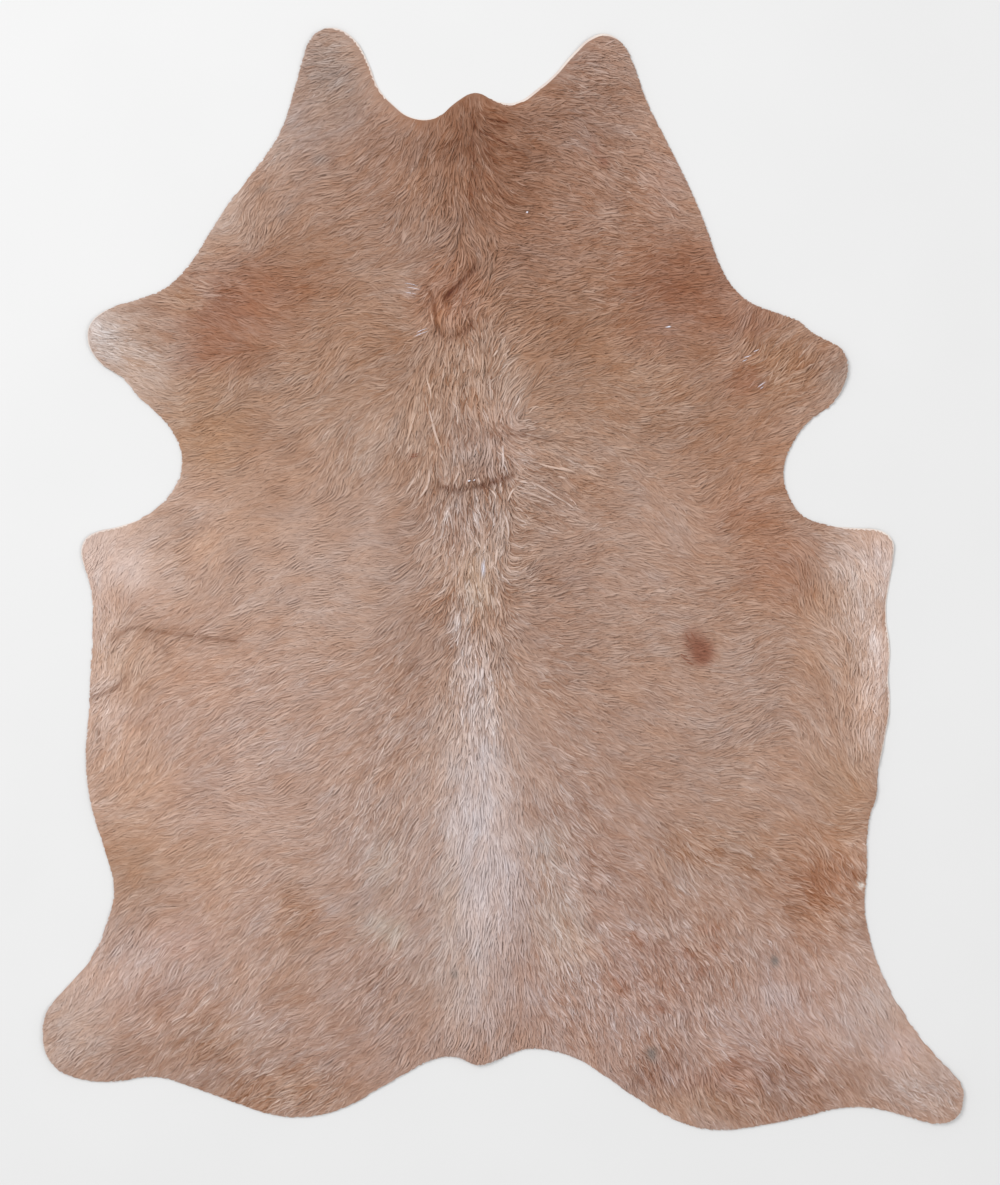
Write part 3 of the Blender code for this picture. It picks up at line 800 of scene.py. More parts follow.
@dataclass(frozen=True)
class Crease(Course):
    """A crease in the hide, along which the hair parts: half its width in mm, and its depth from 0 to 1,
    which also sets its painted shade.
    """

    half_width: float
    depth: float


CREASES = tuple(starmap(Crease, (
    ("across the withers", (-128, 186, -92, 176, -66, 183, -38, 187, -12, 194, 20, 209), 9, 1.0),
    ("above the withers", (-34, 293, 2, 290, 52, 288, 98, 276), 7, 0.55),
    ("short one beside it", (-30, 293, -8, 274), 6, 0.7),
    ("slanting on the neck", (-56, 622, -84, 594, -118, 560), 9, 1.0),
    ("whorl, left", (-154, 586, -140, 562, -136, 530, -133, 508), 8, 0.7),
    ("whorl, foot", (-133, 508, -124, 492, -106, 484, -82, 492, -62, 512), 8, 1.0),
    ("long wrinkle, outer", (-786, -122, -744, -98, -706, -102, -676, -108), 10, 0.5),
    ("long wrinkle, inner", (-690, -104, -650, -112, -610, -115, -530, -125), 8, 0.6),
    ("pucker at the left edge", (-824, -236, -790, -228, -756, -202), 10, 0.65),
    ("small pucker", (-692, -128, -676, -138, -668, -152), 6, 0.5),
    ("pit at the left edge", (-811, -300, -806, -324), 6, 0.7),
    ("parting below the poll", (-58, 904, -30, 888, -4, 876, 32, 852), 4, 0.35),
    ("parting at the poll", (-46, 936, -24, 918, 8, 911), 4, 0.35),
    ("parting on the neck", (-14, 774, 4, 758, 22, 750), 4, 0.4),
    ("fine line on the right flank", (694, -206, 722, -188), 3, 0.5),
)))


@dataclass(frozen=True)
class BareRim(Course):
    """A stretch of the cut edge where the pale leather shows past the hair, and how much in mm."""

    shows: float


BARE_RIMS = tuple(starmap(BareRim, (
    ("inside the left lobe", (-318, 1090, -245, 985), 3.2),
    ("left notch", (-245, 985, -165, 920), 2.2),
    ("right notch", (20, 950, 110, 1015), 4),
    ("inside the right lobe", (110, 1015, 200, 1094), 4),
    ("left foreleg tip", (-822, 536, -826, 450), 2.5),
    ("left flank corner", (-845, 60, -770, 104), 3),
    ("right flank corner", (700, 106, 784, 60), 3.5),
    ("right flank edge", (784, 50, 768, -340), 3),
)))


@dataclass(frozen=True)
class Mottle:
    """Smooth random variation between about -1 and 1, from random values at the nodes of a lattice."""

    cell: float
    seed: int
    size: int = 512

    def at(self, points: np.ndarray) -> np.ndarray:
        """Reads the variation.

        Args:
            points: places in metres, one row each.

        Returns:
            One value for each place.
        """
        nodes = np.random.default_rng(self.seed).uniform(-1.0, 1.0, (self.size, self.size))
        place = points[:, :2] / (self.cell * MM) + self.size / 2
        low = np.floor(place).astype(int)
        part = place - low
        part = part * part * (3.0 - 2.0 * part)
        low = low % self.size
        high = (low + 1) % self.size
        near = nodes[low[:, 1], low[:, 0]] * (1 - part[:, 0]) + nodes[low[:, 1], high[:, 0]] * part[:, 0]
        far = nodes[high[:, 1], low[:, 0]] * (1 - part[:, 0]) + nodes[high[:, 1], high[:, 0]] * part[:, 0]
        return near * (1 - part[:, 1]) + far * part[:, 1]


@dataclass(frozen=True)
class Raster:
    """Values on a regular raster over the hide, read between its nodes."""

    corner: np.ndarray
    step: float
    values: np.ndarray

    def at(self, points: np.ndarray) -> np.ndarray:
        """Reads the raster.

        Args:
            points: places in metres, one row each.

        Returns:
            The value at each place, blended from the four nodes round it.
        """
        rows, columns = self.values.shape[:2]
        place = (points[:, :2] - self.corner) / self.step
        column = np.clip(place[:, 0], 0, columns - 1.001)
        row = np.clip(place[:, 1], 0, rows - 1.001)
        c, r = column.astype(int), row.astype(int)
        u, v = column - c, row - r
        if self.values.ndim == 3:
            u, v = u[:, None], v[:, None]
        low = self.values[r, c] * (1 - u) + self.values[r, c + 1] * u
        high = self.values[r + 1, c] * (1 - u) + self.values[r + 1, c + 1] * u
        return low * (1 - v) + high * v


@dataclass
class HideForm:
    """The shape that the hide lies in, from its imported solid: its cut outline and its heights."""

    node: bpy.types.Object
    step: float = 5 * MM
    outline_step: float = 8 * MM
    leather: float = 2.4 * MM
    cut_edge: float = 1.3 * MM
    edge_rounding: float = 4 * MM
    inset: float = 1.6 * MM
    bare_inset: float = 0.4 * MM
    least_inside: float = 2.5 * MM
    bare_reach: float = 42 * MM
    least_room: float = 1.0 * MM
    outline: np.ndarray = field(init=False)
    edge: Raster = field(init=False)
    underside: Raster = field(init=False)
    coat_top: Raster = field(init=False)

    def __post_init__(self) -> None:
        """Reads the solid once."""
        solid = bmesh.new()
        solid.from_mesh(self.node.data)
        bmesh.ops.remove_doubles(solid, verts=solid.verts, dist=1e-6)
        solid.normal_update()
        self.outline = self._smooth_outline(self._cut_line(solid))
        margin = 6 * self.step
        corner = self.outline.min(axis=0) - margin
        columns, rows = np.ceil((self.outline.max(axis=0) + margin - corner) / self.step).astype(int) + 1
        places = corner + lattice(columns, rows) * self.step
        self.edge = Raster(corner, self.step, self._signed_distance(places).reshape(rows, columns))
        inner = self._moved_inside(places)
        tree = BVHTree.FromBMesh(solid)
        self.underside, self.coat_top = (
            Raster(corner, self.step, self._smoothed(self._heights(tree, inner, way).reshape(rows, columns)))
            for way in (1, -1)
        )
        solid.free()

    @staticmethod
    def _cut_line(solid: bmesh.types.BMesh) -> np.ndarray:
        """Walks along the lower edge of the solid's rim.

        Args:
            solid: the solid, with its doubled points merged.

        Returns:
            The points of the cut outline, anticlockwise, in metres.
        """
        beside: dict[int, list[int]] = {}
        for edge in solid.edges:
            heights = sorted(face.normal.z for face in edge.link_faces)
            if len(heights) == 2 and heights[0] < -0.7 and abs(heights[1]) < 0.5:
                a, b = (vertex.index for vertex in edge.verts)
                beside.setdefault(a, []).append(b)
                beside.setdefault(b, []).append(a)
        walk, before = [next(iter(beside))], None
        while True:
            onward = next(index for index in beside[walk[-1]] if index != before)
            if onward == walk[0]:
                break
            before = walk[-1]
            walk.append(onward)
        solid.verts.ensure_lookup_table()
        line = np.array([solid.verts[index].co[:2] for index in walk])
        after = np.roll(line, -1, axis=0)
        turned = (line[:, 0] * after[:, 1] - after[:, 0] * line[:, 1]).sum()
        return line if turned > 0 else line[::-1]

    def _smooth_outline(self, corners: np.ndarray) -> np.ndarray:
        """Rounds the outline's corners.

        Args:
            corners: the points that the outline passes through.

        Returns:
            Evenly spaced points on a smooth closed curve through them.
        """
        before, after, later = (np.roll(corners, shift, 0) for shift in (1, -1, -2))
        pieces = []
        for share in np.linspace(0.0, 1.0, 9)[:-1]:
            cubic = (
                2 * corners
                + (after - before) * share
                + (2 * before - 5 * corners + 4 * after - later) * share**2
                + (3 * corners - before - 3 * after + later) * share**3
            )
            pieces.append(cubic / 2)
        return along_line(np.stack(pieces, axis=1).reshape(-1, 2), 0, self.outline_step, closed=True)

    def _signed_distance(self, places: np.ndarray) -> np.ndarray:
        """Measures the distance to the cut outline, positive inside it.

        Args:
            places: places in metres.

        Returns:
            One distance for each, in metres.
        """
        start = self.outline
        run = np.roll(start, -1, axis=0) - start
        length = (run**2).sum(axis=1)
        rise = np.where(run[:, 1] == 0, 1e-12, run[:, 1])
        result = []
        for part in np.array_split(places, ceil(len(places) / 4000)):
            offset = part[:, None, :] - start[None]
            share = np.clip((offset * run).sum(axis=2) / length, 0.0, 1.0)
            gap = np.sqrt(((offset - share[:, :, None] * run) ** 2).sum(axis=2)).min(axis=1)
            spans = (offset[:, :, 1] >= 0) != (offset[:, :, 1] - run[:, 1] >= 0)
            left = offset[:, :, 0] < offset[:, :, 1] * run[:, 0] / rise
            result.append(np.where((spans & left).sum(axis=1) % 2 == 1, gap, -gap))
        return np.concatenate(result)

    def _moved_inside(self, places: np.ndarray) -> np.ndarray:
        """Moves places outside the cut edge, or too close to it, to just inside it.

        Args:
            places: places in metres.

        Returns:
            The places, each now over the solid.
        """
        moved = places.copy()
        for _ in range(3):
            distance = self.edge.at(moved)
            short = distance < self.least_inside
            moved[short] += self.inward(moved[short]) * (self.least_inside - distance[short])[:, None]
        return moved

    def inward(self, points: np.ndarray) -> np.ndarray:
        """The direction straight away from the nearest stretch of the cut edge, as unit rows."""
        reach = 0.8 * self.step
        slopes = [self.edge.at(points + way) - self.edge.at(points - way) for way in np.eye(2) * reach]
        return unit(np.column_stack(slopes))

    @staticmethod
    def _heights(tree: BVHTree, places: np.ndarray, way: int) -> np.ndarray:
        """Reads the height of the solid's underside or top.

        Args:
            tree: the solid's faces.
            places: where to read it.
            way: 1 to look up at the underside, -1 to look down at the top.

        Returns:
            One height for each place, in metres.
        """
        hits = (tree.ray_cast(Vector((x, y, -way)), Vector((0, 0, way)))[0] for x, y in places)
        heights = np.array([np.nan if hit is None else hit.z for hit in hits])
        missed = np.isnan(heights)
        heights[missed] = np.interp(np.flatnonzero(missed), np.flatnonzero(~missed), heights[~missed])
        return heights

    @staticmethod
    def _smoothed(heights: np.ndarray) -> np.ndarray:
        """Smooths a raster of heights a little, first one way and then the other.

        Args:
            heights: the raster's values.

        Returns:
            The smoothed values.
        """
        for _ in ("rows", "columns"):
            for _ in range(3):
                padded = np.pad(heights, ((1, 1), (0, 0)), "edge")
                heights = (padded[:-2] + 2 * padded[1:-1] + padded[2:]) / 4
            heights = heights.T
        return heights

    def bare_rim(self, points: np.ndarray) -> np.ndarray:
        """Tells how much bare leather the cut edge shows near each place.

        Args:
            points: places in metres.

        Returns:
            The width of the bare rim in metres, 0 where the hair hides the edge.
        """
        shows = np.zeros(len(points))
        for rim in BARE_RIMS:
            near = smooth_fall(rim.gap(points) / self.bare_reach - 0.35)
            shows = np.maximum(shows, rim.shows * MM * near)
        return shows

    def crease_depth(self, points: np.ndarray) -> np.ndarray:
        """Tells how far into a crease each place lies.

        Args:
            points: places in metres.

        Returns:
            The depth of the crease there, from 0 to 1.
        """
        depth = np.zeros(len(points))
        for crease in CREASES:
            reach = crease.half_width * MM
            low, far = crease.corners.min(axis=0) - 3 * reach, crease.corners.max(axis=0) + 3 * reach
            near = np.flatnonzero(((points[:, :2] > low) & (points[:, :2] < far)).all(axis=1))
            share = crease.gap(points[near]) / reach
            fall = np.maximum(smooth_fall(share), 0.25 * smooth_fall(share / 3))
            depth[near] = np.maximum(depth[near], crease.depth * fall)
        return depth

    def leather_thickness(self, points: np.ndarray) -> np.ndarray:
        """The leather's own thickness in metres: full inside, thinner where the cut edge is rounded over."""
        share = np.clip((self.edge.at(points) - self.inset) / self.edge_rounding, 0.0, 1.0)
        return self.cut_edge + (self.leather - self.cut_edge) * np.sqrt(1.0 - (1.0 - share) ** 2)

    def leather_top(self, points: np.ndarray) -> np.ndarray:
        """The height in metres of the leather's hair side."""
        return self.underside.at(points) + self.leather_thickness(points)

    def hair_room(self, points: np.ndarray) -> np.ndarray:
        """The depth in metres between the leather and the top of the solid's coat."""
        depth = self.coat_top.at(points) - self.underside.at(points)
        return np.maximum(depth - self.leather, self.least_room)

    def scattered(self, spacing: float, rng: np.random.Generator) -> np.ndarray:
        """Scatters places over the box of the hide, one in each cell of offset rows.

        Args:
            spacing: the side of a cell in metres.
            rng: source of the scatter.

        Returns:
            The places in metres, in rows from tail to neck.
        """
        low, far = self.outline.min(axis=0), self.outline.max(axis=0)
        columns, rows = np.ceil((far - low) / spacing).astype(int)
        return low + (lattice(columns, rows, 0.5) + rng.uniform(-0.5, 0.5, (rows * columns, 2))) * spacing


@dataclass
class Combing:
    """Which way the hair lies at each place, from the strokes of the comb.

    The line that hair lies along is blended apart from its way along that line, so that the coat
    parts where strokes run against each other, as it does on a real back, and doesn't curl round.
    """

    form: HideForm
    step: float = 15 * MM
    stroke_step: float = 20 * MM
    spread: float = 26 * MM
    way: Raster = field(init=False)
    line: Raster = field(init=False)

    def __post_init__(self) -> None:
        """Blends the strokes over the whole hide."""
        strokes = [np.reshape(stroke, (-1, 2)) * MM for rows in STROKES.values() for stroke in rows]
        lines = [along_line(stroke, 3, self.stroke_step) for stroke in strokes]
        headings = np.vstack([unit(np.gradient(line, axis=0)) for line in lines])
        edge = self.form.edge
        columns, rows = (np.array(edge.values.shape[::-1]) * edge.step / self.step).astype(int) + 2
        nodes = edge.corner + lattice(columns, rows) * self.step
        gap = ((nodes[:, None, :] - np.vstack(lines)[None]) ** 2).sum(axis=2)
        weight = 1.0 / (gap + self.spread**2) ** 2
        across, along = headings.T
        doubled = np.column_stack((across**2 - along**2, 2 * across * along))
        self.way, self.line = (
            Raster(edge.corner, self.step, unit(weight @ blended).reshape(rows, columns, 2))
            for blended in (headings, doubled)
        )

    def lie(self, points: np.ndarray) -> np.ndarray:
        """Reads which way the coat lies, with the sway that a coat has.

        Args:
            points: places in metres.

        Returns:
            The angle at each place from the across axis, in radians.
        """
        wander = np.column_stack(
            [7 * Mottle(30, seed).at(points) + 4 * Mottle(12, seed + 2).at(points) for seed in (14, 15)]
        )
        shifted = points[:, :2] + wander * MM
        way, line = self.way.at(shifted), self.line.at(shifted)
        angle = 0.5 * np.arctan2(line[:, 1], line[:, 0])
        against = np.cos(angle) * way[:, 0] + np.sin(angle) * way[:, 1] < 0
        angle = np.where(against, angle + pi, angle)
        sway = 5 * Mottle(70, 11).at(points) + 15 * Mottle(26, 12).at(points) + 11 * Mottle(11, 13).at(points)
        return angle + radians(1) * sway

    def followed(self, roots: np.ndarray, length: np.ndarray, turn: np.ndarray, steps: int) -> np.ndarray:
        """Follows the coat from each root, always onward where the hair parts.

        Args:
            roots: where to start, in metres.
            length: how far to go from each root, in metres.
            turn: the angle off the coat's lie, in radians.
            steps: how many steps to take.

        Returns:
            The stations from each root, one more than the steps.
        """
        stations = [roots]
        before = unit_heading(self.lie(roots) + turn)
        for _ in range(steps):
            heading = unit_heading(self.lie(stations[-1]) + turn)
            heading[(heading * before).sum(axis=1) < 0] *= -1
            before = heading
            stations.append(stations[-1] + heading * (length / steps)[:, None])
        return np.stack(stations, axis=1)


@dataclass
class CoatColours:
    """The colour of the hair at each place: shades laid over each other, as patches and marks."""

    form: HideForm
    combing: Combing

    @staticmethod
    def _sway(points: np.ndarray) -> np.ndarray:
        """How far, in metres, the mottling of the coat shifts the edge of a patch at each place."""
        broad, small = (
            np.column_stack([Mottle(cell, seed).at(points) for seed in seeds])
            for cell, seeds in ((80, (21, 22)), (22, (23, 24)))
        )
        return (14 * broad + 7 * small) * MM

    def at(self, points: np.ndarray) -> np.ndarray:
        """The hair's sRGB parts with marks and the painted shade of creases, one row for each place in
        metres.
        """
        return self.marked(points, self.coat(points))

    def coat(self, points: np.ndarray) -> np.ndarray:
        """Works out the coat's own colour.

        Args:
            points: places in metres.

        Returns:
            sRGB parts, one row for each place.
        """
        sway = self._sway(points)
        colour = np.tile(Shade.FAWN.parts, (len(points), 1))
        for patch in PATCHES:
            colour = laid_over(colour, patch.shade, patch.cover(points[:, :2] + sway * patch.ragged))
        tufting = TUFTING.at(points)
        frost = 0.014 * Mottle(46, 25).at(points) + tufting * self._drawn_out(points, ((0.05, 4.5, 31),))
        frost += (0.7 + 0.3 * tufting) * self._drawn_out(points, ((0.025, 20, 26), (0.042, 9, 27)))
        blush = 0.011 * Mottle(44, 28).at(points) + self._drawn_out(points, ((0.018, 18, 29), (0.018, 8, 30)))
        steps = np.column_stack((frost, blush, np.zeros(len(points))))
        for tone in TONES:
            steps += tone.weight(points)[:, None] * (np.array((tone.frost, tone.blush, tone.rose)) / 1000)
        colour += steps @ np.array((FROSTING, BLUSH, ROSE))
        return np.clip(colour, 0.0, 1.0)

    def marked(self, points: np.ndarray, colour: np.ndarray) -> np.ndarray:
        """Lays the small marks and the painted shade of the creases over the coat's own colour.

        Args:
            points: places in metres.
            colour: the coat's colour at each.

        Returns:
            sRGB parts, one row for each place.
        """
        sway = self._sway(points)
        for mark in MARKS:
            share = mark.cover(points[:, :2] + sway * 0.3 * mark.ragged)
            colour = laid_over(colour, mark.shade, np.clip(share * 1.6, 0.0, 1.0))
        # The creases darken the colour here: painted shade
        return np.clip(colour - self.form.crease_depth(points)[:, None] * CREASE_PAINTED_SHADE, 0.0, 1.0)

    def _drawn_out(self, points: np.ndarray, mottlings: Sequence[tuple[float, float, int]]) -> np.ndarray:
        """Reads mottlings that are drawn out along the lie of the hair.

        Args:
            points: places in metres.
            mottlings: for each its amount, the size of its cells in mm, and its seed.

        Returns:
            Their sum at each place.
        """
        heading = unit_heading(self.combing.lie(points))
        total = np.zeros(len(points))
        for amount, cell, seed in mottlings:
            mottle, reach = Mottle(cell, seed), 0.7 * cell + 4
            for share in (-1.0, -0.5, 0.0, 0.5, 1.0):
                total += amount / 5 * mottle.at(points[:, :2] + heading * (share * 1.5 * reach * MM))
        return total


class Finish:
    """A material as it is put together: its nodes and its shader."""

    def __init__(self, name: str) -> None:
        """Starts the material, under a name for what the real one is."""
        self.material = bpy.data.materials.new(name)
        self.material.use_nodes = True
        self.tree = self.material.node_tree

    def filled(self, node: bpy.types.Node, inputs: Sockets) -> None:
        """Fills a node's sockets.

        Args:
            node: the node.
            inputs: for each socket a value, or another node's output to link.
        """
        for name, value in inputs.items():
            if isinstance(value, bpy.types.NodeSocket):
                self.tree.links.new(value, node.inputs[name])
            else:
                node.inputs[name].default_value = value

    def node(
        self, kind: str, settings: dict[str, object], inputs: Sockets, output: str | int = 0
    ) -> bpy.types.NodeSocket:
        """Adds a node with its settings and links.

        Args:
            kind: the node's Blender type, without its first word.
            settings: its own properties.
            inputs: for each socket a value, or another node's output to link.
            output: which of its outputs is wanted.

        Returns:
            That output.
        """
        node = self.tree.nodes.new(f"ShaderNode{kind}")
        for name, value in settings.items():
            setattr(node, name, value)
        self.filled(node, inputs)
        return node.outputs[output]

    def noise(self, scale: float, detail: float, roughness: float = 0.5) -> bpy.types.NodeSocket:
        """Fine noise that keeps its place on the object, by its scale for each metre."""
        place = self.node("TexCoord", {}, {}, "Object")
        inputs = {"Vector": place, "Scale": scale, "Detail": detail, "Roughness": roughness}
        return self.node("TexNoise", {}, inputs)

    def between(self, factor: bpy.types.NodeSocket, low: Shade, high: Shade) -> bpy.types.NodeSocket:
        """Blends two shades: the low one where the factor is 0, the high one where it is 1."""
        shades = {"Factor": factor, "A": low.linear, "B": high.linear}
        return self.node("Mix", {"data_type": "RGBA"}, shades, "Result")

    def tinted(self, noise: bpy.types.NodeSocket, low: float, dark: float) -> bpy.types.NodeSocket:
        """Varies the lightness of the colour that comes with each hair.

        Args:
            noise: the variation, about 0.5.
            low: the noise that is darkest, and as far from 1 the one that is lightest.
            dark: what that noise leaves of the colour, with as much added at the lightest.

        Returns:
            The colour.
        """
        spread = {"Value": noise, "From Min": low, "From Max": 1 - low, "To Min": dark, "To Max": 2 - dark}
        colour = self.node("VertexColor", {"layer_name": "hair"}, {})
        change = self.node("MapRange", {}, spread)
        return self.node("VectorMath", {"operation": "MULTIPLY"}, {0: colour, 1: change})

    def relief(self, height: bpy.types.NodeSocket, strength: float, distance: float) -> bpy.types.NodeSocket:
        """A fine relief: the shading of heights of so much strength, at most so many metres."""
        return self.node("Bump", {}, {"Height": height, "Strength": strength, "Distance": distance})

    def dressed(self, inputs: Sockets) -> bpy.types.Material:
        """Fills the sockets of the shader itself, and gives the material."""
        self.filled(self.tree.nodes["Principled BSDF"], inputs)
        return self.material


@dataclass(frozen=True)
class CowHair:
    """Short straight cow hair, drum-softened and brushed: fine lengthwise strands with a soft gloss.

    The colour comes with each hair. The strands are drawn 0.25 mm wide, because real hairs of
    0.06 mm are too fine to show.
    """

    strand_width: float = 0.25 * MM
    roughness: float = 0.55

    def material(self, name: str, blade_width: float) -> bpy.types.Material:
        """Makes the hair's material.

        Args:
            name: the material's name.
            blade_width: width in metres of the locks it lies on.

        Returns:
            The material.
        """
        finish = Finish(name)
        strands = finish.node("UVMap", {"uv_map": "strands"}, {})
        scale = (blade_width / self.strand_width, 1.4, 1.0)
        stretch = finish.node("Mapping", {"vector_type": "POINT"}, {"Vector": strands, "Scale": scale})
        fine = {"Vector": stretch, "Scale": 1.0, "Detail": 1.0, "Roughness": 0.6}
        streaks = finish.node("TexNoise", {"noise_dimensions": "2D"}, fine)
        gloss = {"Roughness": self.roughness, "Specular IOR Level": 0.28, "IOR": 1.55}
        sheen = {"Sheen Weight": 0.12, "Sheen Roughness": 0.45, "Sheen Tint": Shade.PALE_LEG.linear}
        colour = {"Base Color": finish.tinted(streaks, 0.25, 0.95)}
        return finish.dressed({"Normal": finish.relief(streaks, 0.28, 0.2 * MM), **colour, **gloss, **sheen})


@dataclass(frozen=True)
class Underfelt:
    """The leather's grain side under the coat: short matted underhair in the coat's own colour, dull; the
    sheet darkens that colour as painted shade under the coat.
    """

    fibre: float = 1.2 * MM

    def material(self) -> bpy.types.Material:
        """Makes the material, whose colour comes with the hide's places."""
        finish = Finish("matted_underhair")
        fuzz = finish.noise(1.0 / self.fibre, 3.0, 0.6)
        colour, relief = finish.tinted(fuzz, 0.3, 0.92), finish.relief(fuzz, 0.6, 0.5 * MM)
        dull = {"Roughness": 0.85, "Specular IOR Level": 0.25}
        return finish.dressed({"Base Color": colour, "Normal": relief, **dull})


@dataclass(frozen=True)
class ChromeLeather:
    """Chrome-tanned cow leather, cut with a knife or buffed to suede: pale, fibrous and dull."""

    name: str
    shade: Shade
    darker: Shade
    fibre: float
    relief: float
    cloud: float = 60 * MM

    def material(self) -> bpy.types.Material:
        """Makes the material: two shades in a fine nap, with broader clouds."""
        finish = Finish(self.name)
        nap = finish.noise(1.0 / self.fibre, 4.0, 0.65)
        clouds = finish.noise(1.0 / self.cloud, 3.0)
        both = finish.node("Math", {"operation": "MULTIPLY_ADD"}, {0: nap, 1: 0.5, 2: clouds})
        spread = {"Value": both, "From Min": 0.5, "From Max": 1.0, "To Min": 0.0, "To Max": 1.0}
        blend = finish.between(finish.node("MapRange", {}, spread), self.darker, self.shade)
        dull = {"Roughness": 0.9, "Specular IOR Level": 0.2, "Sheen Weight": 0.1}
        return finish.dressed({"Base Color": blend, "Normal": finish.relief(nap, 0.7, self.relief), **dull})


@dataclass(frozen=True)
class StudioPaper:
    """Matt pale paper with the faintest mottling, for the floor."""

    def material(self) -> bpy.types.Material:
        """Makes the material."""
        finish = Finish("pale_studio_paper")
        tone = finish.between(finish.noise(3.0, 2.0), Shade.STUDIO_GREY, Shade.STUDIO_PALE)
        return finish.dressed({"Base Color": tone, "Roughness": 0.9, "Specular IOR Level": 0.1})


class Faces(NamedTuple):
    """The faces of a mesh: three point numbers a row, its materials, and which one each face takes."""

    triangles: np.ndarray
    finishes: Sequence[bpy.types.Material]
    finish_of: np.ndarray | None = None


def mesh_object(
    name: str, points: np.ndarray, faces: Faces, colours: np.ndarray, uv_maps: dict[str, np.ndarray]
) -> bpy.types.Object:
    """Makes a mesh object from arrays.

    Args:
        name: the piece's name.
        points: its points in metres.
        faces: its faces.
        colours: linear colour of each point.
        uv_maps: for each UV map, two values for each point.

    Returns:
        The object, linked to the scene.
    """
    corners = faces.triangles.astype(np.int32).ravel()
    mesh = bpy.data.meshes.new(name)
    mesh.vertices.add(len(points))
    mesh.vertices.foreach_set("co", points.astype(np.float32).ravel())
    mesh.loops.add(len(corners))
    mesh.loops.foreach_set("vertex_index", corners)
    mesh.polygons.add(len(faces.triangles))
    mesh.polygons.foreach_set("loop_start", np.arange(0, len(corners), 3, dtype=np.int32))
    if faces.finish_of is not None:
        mesh.polygons.foreach_set("material_index", faces.finish_of.astype(np.int32))
    mesh.update(calc_edges=True)
    for finish in faces.finishes:
        mesh.materials.append(finish)
    for map_name, places in uv_maps.items():
        layer = mesh.uv_layers.new(name=map_name)
        layer.uv.foreach_set("vector", places[corners].astype(np.float32).ravel())
    layer = mesh.color_attributes.new("hair", "FLOAT_COLOR", "POINT")
    opaque = np.column_stack((colours, np.ones(len(colours))))
    layer.data.foreach_set("color", opaque.astype(np.float32).ravel())
    mesh.shade_smooth()
    mesh.validate()
    piece = bpy.data.objects.new(name, mesh)
    bpy.context.scene.collection.objects.link(piece)
    return piece


